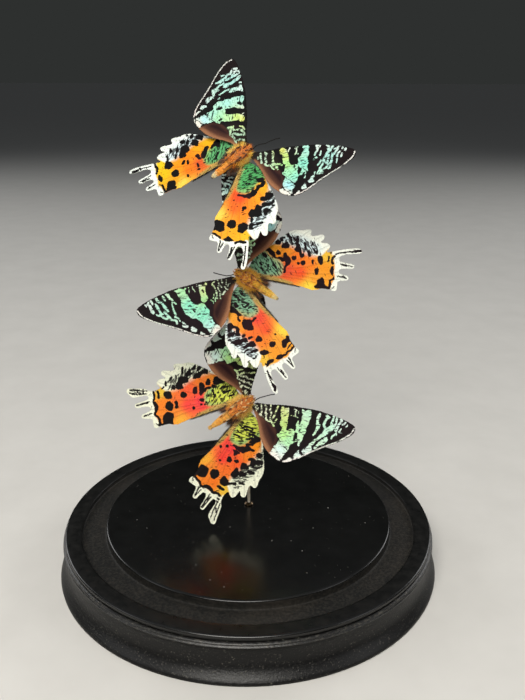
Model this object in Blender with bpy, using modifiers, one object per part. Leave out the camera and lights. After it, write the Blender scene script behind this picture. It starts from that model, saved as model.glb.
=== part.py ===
"""Three mounted sunset moths one above another on a thin stem, on a turned dome base.

Every length in the constants is in millimetres and every angle in degrees; the objects
are made in metres, +Z up, with the origin at the centre of the base's underside.  Each
moth shows its underside to the front (-Y), heads lean up and back.
"""
import math

import bmesh
import bpy
from mathutils import Matrix, Vector

MM = 0.001
GAP = 0.3                      # clear space between neighbouring pieces
BODY_CLEARANCE = 0.4           # the wings' roots are cut this far from the body
PIN_CLEARANCE = 0.75           # a pin starts this far behind the middle of the thorax's back

# Turned base of black lacquered wood.  The dome's rim stands in the ring groove.
BASE_STEPS = 60
PLATEAU_RADIUS = 64.0
PLATEAU_TOP = 21.4
GROOVE_FLOOR = 17.5
RIM_INNER_RADIUS = 74.6
RIM_RADIUS = 82.0
RIM_TOP = 19.7
BEAD_RADIUS = 82.9
COVE_RADIUS = 80.3
FOOT_RADIUS = 85.1
STEM_HOLE_DEPTH = 8.0

# Brass ferrule and the thin stem, which leans back as it rises behind the moths.
STEM_FOOT = (0.0, 7.4)
STEM_TOP = (-1.5, 16.5, 184.0)
STEM_RADIUS = 0.6
FERRULE_RADIUS = 2.1
FERRULE_HEIGHT = 1.1
PIN_RADIUS = 0.35

# Moth body: radius and station along its axis, from the mouth back to the abdomen's tip.
BODY_STEPS = 16
BODY_FLATNESS = 0.85           # depth of the body over its width
BODY_PROFILE = (
    (0.0, 4.9), (0.8, 4.7), (1.4, 4.1), (1.6, 3.4), (1.7, 2.9), (2.4, 2.2), (2.9, 1.0),
    (3.1, -0.6), (3.1, -2.2), (3.0, -4.0), (2.7, -5.6), (2.2, -6.8), (2.0, -8.0), (2.0, -10.0),
    (1.7, -12.3), (1.2, -14.4), (0.6, -15.8), (0.0, -16.4),
)
THORAX_STATION = -1.5
THORAX_RADIUS = 3.1

# Folded legs, left side, in the moth's own (outward, forward, ventral) directions.
LEG_RADIUS = 0.32
LEGS = (
    ((0.5, 1.2, 2.2), (1.2, 2.8, 2.1), (1.3, 4.0, 1.7), (0.8, 5.0, 1.2), (0.4, 5.8, 0.6)),
    ((0.6, -0.6, 2.4), (2.0, 1.2, 2.1), (2.5, -0.4, 2.3), (2.4, -3.0, 2.2), (2.0, -5.4, 2.1)),
    ((0.6, -3.0, 2.4), (1.8, -1.8, 2.6), (1.7, -4.8, 2.6), (1.4, -7.8, 2.3), (1.1, -11.0, 1.9)),
)
# Antennae in the same directions.  Each moth holds one forward and has the other folded
# back behind its forewing.
ANTENNA_RADIUS = 0.2
FOLDED_ANTENNA = (
    (1.4, 4.8, 0.2), (2.6, 5.2, -1.0), (4.8, 5.2, -1.7), (7.4, 5.2, -2.0), (10.2, 5.6, -2.2),
)

# Wings: outlines of the left pair as (outward, forward) from the joint with the thorax.
WING_THICKNESS = 0.4
FORE_JOINT = (2.2, 3.0)
HIND_JOINT = (2.4, -1.5)
WING_LAYER = 0.8               # forewings lie this far in front of the body's middle
FORE_TWIST_AXIS = 45.0
HIND_TWIST_AXIS = -45.0
FORE_OUTLINE = (
    (0.0, 1.6), (1.5, 3.4), (3.5, 5.4), (5.5, 7.8), (7.5, 10.3), (10.0, 13.0), (12.5, 15.4),
    (15.0, 17.9), (18.0, 20.6), (21.0, 22.9), (24.0, 24.9), (27.0, 26.8), (29.5, 28.1),
    (31.6, 28.8), (33.1, 28.4), (33.9, 27.0), (34.1, 25.0), (33.8, 22.0), (33.1, 18.5),
    (32.2, 15.0), (31.4, 11.5), (30.9, 9.0), (30.4, 6.2), (29.8, 3.4), (29.1, 1.0),
    (28.3, -1.0), (27.2, -2.6), (25.4, -3.9), (23.4, -4.6), (21.2, -5.0), (18.5, -5.2),
    (16.0, -5.0), (13.2, -4.3), (11.0, -3.4), (8.5, -2.4), (5.6, -1.6), (2.6, -0.9), (0.3, -0.4),
)
HIND_COSTA = (
    (1.2, 2.0), (4.5, 2.8), (8.5, 2.6), (12.0, 1.7), (14.5, 0.6), (16.8, -0.7), (19.0, -1.8),
    (21.0, -2.8), (22.8, -3.7), (24.6, -4.8), (26.0, -6.1), (26.7, -7.5),
)
HIND_LOBES = (
    (27.6, -9.0), (28.8, -10.3), (29.3, -11.3), (28.7, -12.1), (27.5, -12.6), (27.7, -13.7),
    (28.7, -15.0), (29.9, -16.3), (30.3, -17.4), (29.6, -18.2), (28.2, -18.0), (27.1, -17.7),
    (27.7, -19.2), (28.2, -20.6), (28.0, -21.8), (26.9, -22.2), (25.6, -21.9), (25.0, -22.5),
)
LONG_TAIL = {
    "slender": (
        (26.2, -23.8), (28.2, -26.0), (30.2, -28.4), (32.0, -30.8), (33.2, -33.0), (33.3, -34.3),
        (32.3, -34.6), (30.9, -33.3), (29.6, -31.4), (28.2, -29.4), (26.8, -28.2), (25.4, -27.9),
    ),
    "broad": (
        (25.6, -24.6), (26.9, -26.4), (28.8, -27.4), (30.4, -29.2), (32.2, -31.4), (33.7, -33.4),
        (32.9, -34.4), (31.0, -34.3), (29.2, -33.7), (27.9, -31.7), (26.7, -29.3), (25.4, -28.2),
    ),
}
HIND_HEM = (
    (24.6, -28.8), (24.9, -30.4), (25.8, -32.8), (26.3, -34.5), (25.5, -35.3), (24.4, -34.8),
    (23.3, -32.7), (22.3, -31.1), (21.1, -30.4), (20.2, -31.1), (20.4, -32.8), (20.9, -34.6),
    (20.4, -35.6), (19.3, -35.4), (18.2, -34.0), (17.3, -32.8), (16.2, -32.6), (14.9, -33.3),
    (13.4, -33.8), (12.5, -33.0), (12.3, -31.5), (11.5, -29.6), (10.4, -27.8), (9.2, -26.6),
)
HIND_INNER = (
    (8.2, -25.0), (7.6, -22.5), (7.0, -20.0), (6.0, -17.0), (5.0, -14.0), (4.0, -11.0),
    (2.9, -8.0), (1.9, -5.5), (1.0, -3.2), (0.5, -1.0),
)

# The moths from the top down.  heading turns the head up from +X, lean tips the moth
# back, turn swings it about the stem, body_shift is (left, forward) of the wings' middle.
# Each wing has (sweep, dihedral, twist).
MOTHS = (
    {
        "name": "top_moth", "place": (-2.1, 3.1, 179.9), "scale": 0.943,
        "heading": 40.5, "lean": 28.4, "turn": -1.9, "tail": "slender", "body_shift": (-1.1, 1.0),
        "left_forewing": (7.5, 11.4, -1.1), "right_forewing": (-9.3, -7.1, 2.3),
        "left_hindwing": (7.7, 10.0, 0.6), "right_hindwing": (-6.5, -19.0, 5.0),
        "right_antenna": FOLDED_ANTENNA,
        "left_antenna": (
            (1.4, 4.8, 0.4), (1.4, 6.6, 0.9), (2.0, 8.1, 1.0), (3.1, 10.0, 1.0),
            (3.6, 12.2, 1.0), (4.3, 14.5, 1.0), (5.3, 16.3, 1.0),
        ),
    },
    {
        "name": "middle_moth", "place": (-1.2, 2.6, 131.0), "scale": 0.986,
        "heading": 146.6, "lean": 19.9, "turn": 1.1, "tail": "slender", "body_shift": (0.2, 0.0),
        "left_forewing": (-0.2, 18.1, 2.0), "right_forewing": (-3.9, 10.2, 0.6),
        "left_hindwing": (1.7, 5.1, -0.3), "right_hindwing": (-3.0, 8.0, -5.8),
        "left_antenna": FOLDED_ANTENNA,
        "right_antenna": (
            (1.5, 4.8, 0.6), (2.4, 5.3, 1.5), (3.8, 6.8, 2.0), (4.8, 9.4, 2.0), (5.7, 12.2, 2.0),
        ),
    },
    {
        "name": "bottom_moth", "place": (-2.0, 4.2, 73.2), "scale": 1.074,
        "heading": 36.1, "lean": 20.1, "turn": -3.1, "tail": "broad", "body_shift": (-0.2, 0.0),
        "left_forewing": (0.4, 21.3, -3.2), "right_forewing": (0.7, 24.6, -0.7),
        "left_hindwing": (-4.8, 3.8, -2.7), "right_hindwing": (-3.8, -8.3, -1.1),
        "right_antenna": FOLDED_ANTENNA,
        "left_antenna": (
            (1.4, 4.8, 0.4), (1.4, 6.2, 0.8), (1.6, 7.4, 1.0), (2.3, 9.3, 1.0),
            (3.1, 11.5, 1.0), (3.9, 13.1, 1.0),
        ),
    },
)


def clear_scene():
    for thing in list(bpy.data.objects):
        bpy.data.objects.remove(thing, do_unlink=True)


def make_collection(name):
    collection = bpy.data.collections.new(name)
    bpy.context.scene.collection.children.link(collection)
    return collection


def make_material(name, colour, roughness, metallic=0.0):
    material = bpy.data.materials.new(name)
    material.use_nodes = True
    shader = material.node_tree.nodes["Principled BSDF"]
    shader.inputs["Base Color"].default_value = (*colour, 1.0)
    shader.inputs["Roughness"].default_value = roughness
    shader.inputs["Metallic"].default_value = metallic
    return material


def add_object(name, data, collection, material=None):
    thing = bpy.data.objects.new(name, data)
    collection.objects.link(thing)
    if material:
        data.materials.append(material)
    return thing


def as_cutter(thing):
    thing.hide_render = True
    thing.display_type = "WIRE"


def turned_object(name, profile, steps, collection, material=None):
    """Turn a profile of (radius, height), listed from the top axis down, about Z."""
    mesh = bpy.data.meshes.new(name)
    points = [(radius * MM, 0.0, height * MM) for radius, height in profile]
    mesh.from_pydata(points, [(i, i + 1) for i in range(len(points) - 1)], [])
    thing = add_object(name, mesh, collection, material)
    screw = thing.modifiers.new("Turning", "SCREW")
    screw.axis = "Z"
    screw.steps = steps
    screw.render_steps = steps
    screw.use_merge_vertices = True
    screw.merge_threshold = 0.00001
    return thing


def baked_mesh(thing):
    """Replace an object by the welded mesh of what it shows, in world space."""
    bpy.context.view_layer.update()
    graph = bpy.context.evaluated_depsgraph_get()
    mesh = bpy.data.meshes.new_from_object(thing.evaluated_get(graph))
    mesh.transform(thing.matrix_world)
    shell = bmesh.new()
    shell.from_mesh(mesh)
    bmesh.ops.remove_doubles(shell, verts=shell.verts, dist=0.000002)
    bmesh.ops.recalc_face_normals(shell, faces=shell.faces)
    shell.to_mesh(mesh)
    shell.free()
    name = thing.name
    collection = thing.users_collection[0]
    bpy.data.objects.remove(thing, do_unlink=True)
    solid = bpy.data.objects.new(name, mesh)
    collection.objects.link(solid)
    return solid


def tube_object(name, points, radius, sides_level, collection, matrix, material=None):
    """A round wire through points in millimetres, placed by a matrix in metres."""
    curve = bpy.data.curves.new(name, "CURVE")
    curve.dimensions = "3D"
    curve.bevel_depth = radius * MM
    curve.bevel_resolution = sides_level
    curve.use_fill_caps = True
    spline = curve.splines.new("POLY")
    spline.points.add(len(points) - 1)
    for spot, point in zip(spline.points, points):
        spot.co = (*(Vector(point) * MM), 1.0)
    thing = add_object(name, curve, collection, material)
    thing.matrix_world = matrix
    return baked_mesh(thing)


def smooth(thing, angle=40.0):
    thing.data.shade_smooth()
    thing.data.set_sharp_from_angle(angle=math.radians(angle))


def add_boolean(thing, operand, operation):
    modifier = thing.modifiers.new(operand.name, "BOOLEAN")
    modifier.solver = "EXACT"
    modifier.operation = operation
    modifier.object = operand


def base_profile():
    """Plateau, ring groove, rim, bead, cove and flared foot, from the top axis down."""
    profile = [
        (0.0, PLATEAU_TOP), (PLATEAU_RADIUS - 0.5, PLATEAU_TOP), (PLATEAU_RADIUS, PLATEAU_TOP - 0.5),
        (PLATEAU_RADIUS, GROOVE_FLOOR), (RIM_INNER_RADIUS, GROOVE_FLOOR),
        (RIM_INNER_RADIUS, RIM_TOP - 0.4), (RIM_INNER_RADIUS + 0.4, RIM_TOP),
        (RIM_RADIUS - 0.6, RIM_TOP), (RIM_RADIUS, RIM_TOP - 0.6), (RIM_RADIUS, 17.7),
        (BEAD_RADIUS - 0.3, 17.0), (BEAD_RADIUS, 16.0), (BEAD_RADIUS - 0.5, 14.9),
    ]
    cove_steps = 7
    top, bottom = 14.2, 4.2
    for i in range(cove_steps + 1):
        part = i / cove_steps
        flare = COVE_RADIUS + (BEAD_RADIUS - 1.6 - COVE_RADIUS) * (1.0 - part) ** 3
        flare += (FOOT_RADIUS - 2.4 - COVE_RADIUS) * part ** 3
        profile.append((flare, top + (bottom - top) * part))
    profile += [(FOOT_RADIUS - 0.9, 2.2), (FOOT_RADIUS, 1.0), (FOOT_RADIUS - 0.3, 0.0), (0.0, 0.0)]
    return profile


def stem_point(height):
    """The middle of the stem at a height."""
    low = Vector((*STEM_FOOT, PLATEAU_TOP))
    high = Vector(STEM_TOP)
    return low + (high - low) * (height - low.z) / (high.z - low.z)


def make_base(parts, guides):
    lacquer = make_material("black_lacquer", (0.012, 0.012, 0.013), 0.22)
    base = turned_object("dome_base", base_profile(), BASE_STEPS, parts, lacquer)
    depth = PLATEAU_TOP + 2.0 - (PLATEAU_TOP - STEM_HOLE_DEPTH)
    bpy.ops.mesh.primitive_cylinder_add(
        vertices=12, radius=(STEM_RADIUS + GAP) * MM, depth=depth * MM)
    hole = bpy.context.active_object
    hole.name = "stem_hole"
    hole.location = Vector((*STEM_FOOT, PLATEAU_TOP - STEM_HOLE_DEPTH + depth / 2.0)) * MM
    for old in list(hole.users_collection):
        old.objects.unlink(hole)
    guides.objects.link(hole)
    as_cutter(hole)
    add_boolean(base, hole, "DIFFERENCE")
    smooth(base, 30.0)


def make_ferrule(parts):
    """A low turned collar around the stem where it enters the base."""
    bore = STEM_RADIUS + GAP
    low = PLATEAU_TOP + GAP
    high = low + FERRULE_HEIGHT
    profile = [
        (bore, high), (bore + 0.35, high), (FERRULE_RADIUS - 0.5, high - 0.3),
        (FERRULE_RADIUS, high - 0.7), (FERRULE_RADIUS, low), (bore, low), (bore, high),
    ]
    brass = make_material("aged_brass", (0.35, 0.20, 0.09), 0.35, 1.0)
    ferrule = turned_object("stem_ferrule", profile, 20, parts, brass)
    ferrule.location = (STEM_FOOT[0] * MM, STEM_FOOT[1] * MM, 0.0)
    smooth(ferrule, 35.0)


def make_stem(parts):
    """One straight wire with a short foot that stands upright in the base's hole."""
    foot = Vector((*STEM_FOOT, PLATEAU_TOP - STEM_HOLE_DEPTH + GAP))
    collar = Vector((*STEM_FOOT, PLATEAU_TOP + FERRULE_HEIGHT + 1.2))
    heights = (50.0, 90.0, 130.0, 160.0, STEM_TOP[2])
    points = [foot, collar] + [stem_point(height) for height in heights]
    wire = make_material("brass_wire", (0.42, 0.27, 0.12), 0.35, 1.0)
    stem = tube_object("stem", points, STEM_RADIUS, 2, parts, Matrix.Identity(4))
    stem.data.materials.clear()
    stem.data.materials.append(wire)
    smooth(stem)


def moth_matrix(moth):
    """World matrix whose X, Y, Z are the moth's left, head and ventral directions."""
    heading = math.radians(moth["heading"])
    facing = Matrix((
        (math.sin(heading), math.cos(heading), 0.0),
        (0.0, 0.0, -1.0),
        (-math.cos(heading), math.sin(heading), 0.0),
    )).to_4x4()
    lean = Matrix.Rotation(-math.radians(moth["lean"]), 4, "X")
    turn = Matrix.Rotation(math.radians(moth["turn"]), 4, "Z")
    place = Matrix.Translation(Vector(moth["place"]) * MM)
    return place @ turn @ lean @ facing @ Matrix.Scale(moth["scale"], 4)


def body_matrix(moth):
    left, forward = moth["body_shift"]
    return moth_matrix(moth) @ Matrix.Translation(Vector((left, forward, 0.0)) * MM)


def body_lathe(name, clearance, collection, matrix):
    """The head, thorax and abdomen turned in one, grown by a clearance."""
    profile = [(radius + (clearance if radius else 0.0), station) for radius, station in BODY_PROFILE]
    profile[0] = (0.0, profile[0][1] + clearance)
    profile[-1] = (0.0, profile[-1][1] - clearance)
    lathe = turned_object(name, profile, BODY_STEPS, collection)
    stand = Matrix.Rotation(math.radians(-90.0), 4, "X")
    lathe.matrix_world = matrix @ Matrix.Diagonal((1.0, 1.0, BODY_FLATNESS, 1.0)) @ stand
    return baked_mesh(lathe)


def make_body(moth, parts, guides, material):
    name = moth["name"]
    matrix = body_matrix(moth)
    body = body_lathe(f"{name}_body", 0.0, parts, matrix)
    body.data.materials.append(material)
    for side in (1.0, -1.0):
        for number, leg in enumerate(LEGS):
            points = [(x * side, y, z) for x, y, z in leg]
            label = f"{name}_leg_{number}_{'left' if side > 0 else 'right'}"
            tube = tube_object(label, points, LEG_RADIUS, 1, guides, matrix)
            as_cutter(tube)
            add_boolean(body, tube, "UNION")
    smooth(body, 50.0)


def make_antennae(moth, parts, material):
    matrix = body_matrix(moth)
    for side, word in ((1.0, "left"), (-1.0, "right")):
        points = [(x * side, y, z) for x, y, z in moth[f"{word}_antenna"]]
        name = f"{moth['name']}_{word}_antenna"
        antenna = tube_object(name, points, ANTENNA_RADIUS, 1, parts, matrix)
        antenna.data.materials.append(material)
        smooth(antenna)


def hind_outline(tail):
    return HIND_COSTA + HIND_LOBES + LONG_TAIL[tail] + HIND_HEM + HIND_INNER


def wing_matrix(moth, wing):
    """Place of a wing whose outline lies in its XY plane, mirrored for the right side."""
    side = 1.0 if wing.startswith("left") else -1.0
    fore = wing.endswith("forewing")
    joint = FORE_JOINT if fore else HIND_JOINT
    sweep, dihedral, twist = (math.radians(angle) for angle in moth[wing])
    axis_angle = math.radians(FORE_TWIST_AXIS if fore else HIND_TWIST_AXIS)
    axis = (math.cos(axis_angle), side * math.sin(axis_angle), 0.0)
    layer = WING_LAYER if fore else -WING_LAYER
    move = Matrix.Translation(Vector((side * joint[0], joint[1], layer)) * MM)
    lift = Matrix.Rotation(-side * dihedral, 4, "Y")
    swing = Matrix.Rotation(side * sweep, 4, "Z")
    roll = Matrix.Rotation(twist, 4, axis)
    return moth_matrix(moth) @ move @ lift @ swing @ roll


def make_wing(moth, wing, cutter, parts, material):
    side = 1.0 if wing.startswith("left") else -1.0
    outline = FORE_OUTLINE if wing.endswith("forewing") else hind_outline(moth["tail"])
    name = f"{moth['name']}_{wing}"
    curve = bpy.data.curves.new(name, "CURVE")
    curve.dimensions = "2D"
    curve.fill_mode = "BOTH"
    curve.extrude = WING_THICKNESS / 2.0 * MM
    spline = curve.splines.new("POLY")
    spline.points.add(len(outline) - 1)
    spline.use_cyclic_u = True
    for spot, (outward, forward) in zip(spline.points, outline):
        spot.co = (side * outward * MM, forward * MM, 0.0, 1.0)
    sheet = add_object(name, curve, parts)
    sheet.matrix_world = wing_matrix(moth, wing)
    panel = baked_mesh(sheet)
    panel.data.materials.append(material)
    add_boolean(panel, cutter, "DIFFERENCE")


def make_pin(moth, parts, material):
    """A short pin from the stem to the middle of the thorax's back."""
    matrix = body_matrix(moth)
    back = THORAX_RADIUS * BODY_FLATNESS
    start = matrix @ (Vector((0.0, THORAX_STATION, -back)) * MM)
    target = stem_point(start.z / MM + 1.0) * MM
    along = (target - start).normalized()
    near = start + along * PIN_CLEARANCE * MM
    far = target - along * (STEM_RADIUS + BODY_CLEARANCE) * MM
    name = f"{moth['name']}_pin"
    points = [near / MM, far / MM]
    pin = tube_object(name, points, PIN_RADIUS, 1, parts, Matrix.Identity(4))
    pin.data.materials.append(material)
    smooth(pin)


def make_moths(parts, guides):
    fur = make_material("moth_fur", (0.52, 0.22, 0.07), 0.9)
    horn = make_material("antenna_horn", (0.03, 0.025, 0.02), 0.6)
    scales = make_material("wing_scales", (0.16, 0.30, 0.24), 0.5)
    hind_scales = make_material("hindwing_scales", (0.60, 0.24, 0.06), 0.5)
    steel = make_material("pin_steel", (0.45, 0.45, 0.45), 0.3, 1.0)
    for moth in MOTHS:
        name = moth["name"]
        make_body(moth, parts, guides, fur)
        make_antennae(moth, parts, horn)
        clearance = BODY_CLEARANCE / moth["scale"]
        cutter = body_lathe(f"{name}_clearance", clearance, guides, body_matrix(moth))
        as_cutter(cutter)
        for side in ("left", "right"):
            make_wing(moth, f"{side}_forewing", cutter, parts, scales)
            make_wing(moth, f"{side}_hindwing", cutter, parts, hind_scales)
        make_pin(moth, parts, steel)


def main():
    clear_scene()
    parts = make_collection("mounted_moths_on_dome_base")
    guides = make_collection("cutters")
    make_base(parts, guides)
    make_ferrule(parts)
    make_stem(parts)
    make_moths(parts, guides)


main()
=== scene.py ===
import math
import random
from collections import namedtuple

import bpy
import numpy as np
from mathutils import Matrix, Vector
from mathutils.geometry import delaunay_2d_cdt


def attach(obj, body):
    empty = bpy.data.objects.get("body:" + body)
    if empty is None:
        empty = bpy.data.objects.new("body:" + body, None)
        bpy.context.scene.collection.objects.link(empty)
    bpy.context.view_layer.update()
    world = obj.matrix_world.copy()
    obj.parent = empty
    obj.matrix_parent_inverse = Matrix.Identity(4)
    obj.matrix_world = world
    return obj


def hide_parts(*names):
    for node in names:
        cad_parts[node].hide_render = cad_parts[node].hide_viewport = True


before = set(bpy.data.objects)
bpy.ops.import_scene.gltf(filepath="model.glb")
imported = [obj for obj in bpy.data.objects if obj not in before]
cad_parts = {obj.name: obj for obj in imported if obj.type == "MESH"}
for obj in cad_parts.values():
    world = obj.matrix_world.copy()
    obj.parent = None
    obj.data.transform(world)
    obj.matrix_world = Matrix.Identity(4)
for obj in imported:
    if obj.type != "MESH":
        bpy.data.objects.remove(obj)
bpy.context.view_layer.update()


# Where it stands: a plain pale table top in a dim room, seen from in front and a little
# above, with a large soft light over the camera and weak ones round the sides and back.

def linear(colour):
    """A linear colour from six sRGB hex digits."""
    channels = [int(colour[i:i + 2], 16) / 255.0 for i in (0, 2, 4)]
    return tuple(c / 12.92 if c <= 0.04045 else ((c + 0.055) / 1.055) ** 2.4 for c in channels) + (1.0,)


def add_node(tree, kind, inputs=None, **settings):
    """Add a node with its settings; each input takes a value or another node's output."""
    node = tree.nodes.new(kind)
    for name, value in settings.items():
        setattr(node, name, value)
    for name, value in (inputs or {}).items():
        if isinstance(value, bpy.types.NodeSocket):
            tree.links.new(value, node.inputs[name])
        else:
            node.inputs[name].default_value = value
    return node


def make_material(name, **values):
    """A material with constants on the shader's own sockets; returns it, its tree and shader."""
    material = bpy.data.materials.new(name)
    material.use_nodes = True
    shader = material.node_tree.nodes["Principled BSDF"]
    for socket, value in values.items():
        shader.inputs[socket.replace("_", " ")].default_value = value
    return material, material.node_tree, shader


def speckle(tree, vector, scale, low, high, colours):
    """Noise of a scale in turns per metre that runs between two colours."""
    noise = add_node(tree, "ShaderNodeTexNoise", {"Vector": vector, "Scale": scale, "Detail": 3.0,
                                                  "Roughness": 0.6})
    part = add_node(tree, "ShaderNodeMapRange", {"Value": noise.outputs["Fac"], "From Min": low,
                                                 "From Max": high})
    mix = add_node(tree, "ShaderNodeMix", {0: part.outputs["Result"], 6: colours[0], 7: colours[1]},
                   data_type="RGBA")
    return mix.outputs[2], noise.outputs["Fac"]


def add_light(name, place, aim, size, power, colour="FFFFFF"):
    """A round soft light of a size in metres and a power in watts, aimed at a point."""
    light_data = bpy.data.lights.new(name, "AREA")
    light_data.shape = "DISK"
    light_data.size = size
    light_data.energy = power
    light_data.color = linear(colour)[:3]
    light = bpy.data.objects.new(name, light_data)
    bpy.context.scene.collection.objects.link(light)
    light.location = place
    light.rotation_euler = (Vector(aim) - Vector(place)).to_track_quat("-Z", "Y").to_euler()


# The camera stands where the photo was taken from, in metres and degrees.
CAMERA_PLACE = (0.00619, -0.3096, 0.2084)
CAMERA_TILT = math.radians(70.76)
CAMERA_ROLL = 0.0027
camera_data = bpy.data.cameras.new("photo_camera")
camera_data.lens = 39.70
camera_data.sensor_width = 36.0
camera_data.sensor_fit = "AUTO"
camera_data.clip_start = 0.01
camera_data.clip_end = 200.0
camera = bpy.data.objects.new("photo_camera", camera_data)
bpy.context.scene.collection.objects.link(camera)
camera.matrix_world = (Matrix.Translation(CAMERA_PLACE) @ Matrix.Rotation(CAMERA_TILT, 4, "X")
                       @ Matrix.Rotation(CAMERA_ROLL, 4, "Z"))
bpy.context.scene.camera = camera
bpy.context.scene.view_settings.view_transform = "Standard"

add_light("key_softbox", (-0.10, -0.62, 0.72), (0.0, 0.0, 0.11), 0.60, 8.6, "FFFBF4")
FILLS = (
    ("right_fill", (1.60, -0.70, 1.00), 4.6), ("left_fill", (-1.60, -0.50, 1.00), 4.6),
    ("right_back_fill", (1.40, 1.10, 0.90), 8.0), ("left_back_fill", (-1.40, 1.10, 0.90), 8.0),
)
for name, place, power in FILLS:
    add_light(name, place, (0.0, 0.0, 0.10), 1.00, power)

# The room is dark at eye height, so that the gloss plateau stays black, and paler overhead.
room = bpy.data.worlds.new("dim_room")
room.use_nodes = True
bpy.context.scene.world = room
tree = room.node_tree
heading = add_node(tree, "ShaderNodeTexCoord")
up = add_node(tree, "ShaderNodeSeparateXYZ", {0: heading.outputs["Generated"]})
rise = add_node(tree, "ShaderNodeMapRange", {"Value": up.outputs["Z"], "From Min": 0.50, "From Max": 1.0})
shade = add_node(tree, "ShaderNodeMix", {0: rise.outputs["Result"], 6: linear("2E302F"), 7: linear("A6A8AA")},
                 data_type="RGBA")
tree.links.new(shade.outputs[2], tree.nodes["Background"].inputs["Color"])

# The table top is matt pale board with a faint mottle 30 mm across.  Painted shade greys it with
# distance to the tone of the room, a painted fall-off of the light, so that no horizon line shows.
TABLE_REACH = 60.0
material, tree, shader = make_material("pale_board_with_painted_falloff", Roughness=0.75)
place = add_node(tree, "ShaderNodeTexCoord")
mottle, _ = speckle(tree, place.outputs["Object"], 30.0, 0.3, 0.7, (linear("CDCBC6"), linear("D3D1CC")))
reach = add_node(tree, "ShaderNodeVectorMath", {0: place.outputs["Object"]}, operation="LENGTH")
# painted shade: the board's colour darkens from 0.3 m to 2.4 m out, standing in for the light's fall-off
painted_falloff = add_node(tree, "ShaderNodeMapRange", {"Value": reach.outputs["Value"], "From Min": 0.30,
                                            "From Max": 2.4}, interpolation_type="SMOOTHSTEP")
tone = add_node(tree, "ShaderNodeMix", {0: painted_falloff.outputs["Result"], 6: mottle, 7: linear("656665")},
                data_type="RGBA")
tree.links.new(tone.outputs[2], shader.inputs["Base Color"])
mesh = bpy.data.meshes.new("table_top")
corners = [(x * TABLE_REACH, y * TABLE_REACH, 0) for x, y in ((-1, -1), (1, -1), (1, 1), (-1, 1))]
mesh.from_pydata(corners, [], [(0, 1, 2, 3)])
mesh.materials.append(material)
table_top = bpy.data.objects.new("table_top", mesh)
bpy.context.scene.collection.objects.link(table_top)


# The base: turned wood, black lacquered.  Its raised middle is polished, the ring groove
# for the dome is dusty and matt, the rim is satin, the bead below it is worn on its two
# ridges, and the cove and flared foot are rougher, with pale specks of dust.
MM = 0.001                     # a millimetre in metres
PLATEAU_TOP = 21.4
STEM_FOOT = (0.0, 7.4)
BASE_STEPS = 288
BASE_PROFILE = (
    # (radius, height, finish of the band below it: 0 polished, 1 dusty, 2 satin, 3 worn, 4 speckled)
    (0.0, 21.4, 0), (6.0, 21.4, 0), (20.0, 21.4, 0), (40.0, 21.4, 0), (56.0, 21.4, 0), (62.6, 21.4, 0),
    (63.3, 21.38, 0), (63.7, 21.28, 0), (63.92, 21.08, 0), (64.0, 20.8, 1), (64.0, 19.6, 1),
    (64.0, 18.1, 1), (64.15, 17.75, 1), (64.5, 17.55, 1), (65.2, 17.5, 1), (68.0, 17.5, 1),
    (71.0, 17.5, 1), (73.6, 17.5, 1), (74.25, 17.58, 1), (74.52, 17.85, 1), (74.6, 18.3, 1),
    (74.6, 18.95, 2), (74.66, 19.3, 2), (74.85, 19.55, 2), (75.2, 19.68, 2), (75.7, 19.7, 2),
    (78.5, 19.7, 2), (81.0, 19.7, 0), (81.5, 19.64, 0), (81.82, 19.44, 0), (81.97, 19.14, 0),
    (82.0, 18.8, 2), (82.0, 18.2, 2), (81.9, 17.95, 4), (81.5, 17.75, 4), (81.5, 17.5, 4),
    (82.0, 17.35, 3), (82.5, 17.2, 3), (82.8, 16.9, 3), (82.85, 16.55, 3), (82.6, 16.25, 3),
    (82.4, 16.05, 3), (82.6, 15.85, 3), (82.9, 15.6, 3), (82.85, 15.25, 3), (82.5, 14.95, 3),
    (82.0, 14.75, 4), (81.4, 14.3, 4), (81.0, 13.3, 4), (80.75, 12.0, 4), (80.6, 10.6, 4),
    (80.6, 9.2, 4), (80.75, 7.8, 4), (81.1, 6.5, 4), (81.7, 5.2, 4), (82.4, 4.2, 4), (83.2, 3.2, 4),
    (84.0, 2.4, 4), (84.7, 1.7, 4), (85.0, 1.2, 4), (85.1, 0.8, 4), (85.0, 0.3, 4), (84.7, 0.0, 4),
    (60.0, 0.0, 4), (0.0, 0.0, 4),
)


def add_piece(name, points, faces, materials, finishes=None, smooth=True, replaced=()):
    """An object from points in metres that rides on the body, and takes a node's place."""
    mesh = bpy.data.meshes.new(name)
    mesh.from_pydata(points if isinstance(points, list) else points.tolist(), [], faces)
    for material in materials:
        mesh.materials.append(material)
    if finishes is not None:
        mesh.polygons.foreach_set("material_index", finishes)
    if smooth:
        mesh.shade_smooth()
    mesh.update()
    piece = bpy.data.objects.new(name, mesh)
    bpy.context.scene.collection.objects.link(piece)
    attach(piece, "root")
    for node in replaced:
        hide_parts(node)
    return piece


def turned(profile, steps):
    """Points and faces of a closed turning about Z; the profile starts and ends on the axis."""
    rings = profile[1:-1]
    points = [(0.0, 0.0, profile[0][1] * MM), (0.0, 0.0, profile[-1][1] * MM)]
    for radius, height, *_ in rings:
        for step in range(steps):
            angle = 2.0 * math.pi * step / steps
            points.append((radius * MM * math.cos(angle), radius * MM * math.sin(angle), height * MM))
    faces, finishes = [], []
    last = 2 + (len(rings) - 1) * steps
    for step in range(steps):
        follow = (step + 1) % steps
        faces.append((0, 2 + step, 2 + follow))
        finishes.append(profile[0][2])
        for ring in range(len(rings) - 1):
            a, b = 2 + ring * steps, 2 + (ring + 1) * steps
            faces.append((a + step, b + step, b + follow, a + follow))
            finishes.append(rings[ring][2])
        faces.append((1, last + follow, last + step))
        finishes.append(rings[-1][2])
    return points, faces, finishes


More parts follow.
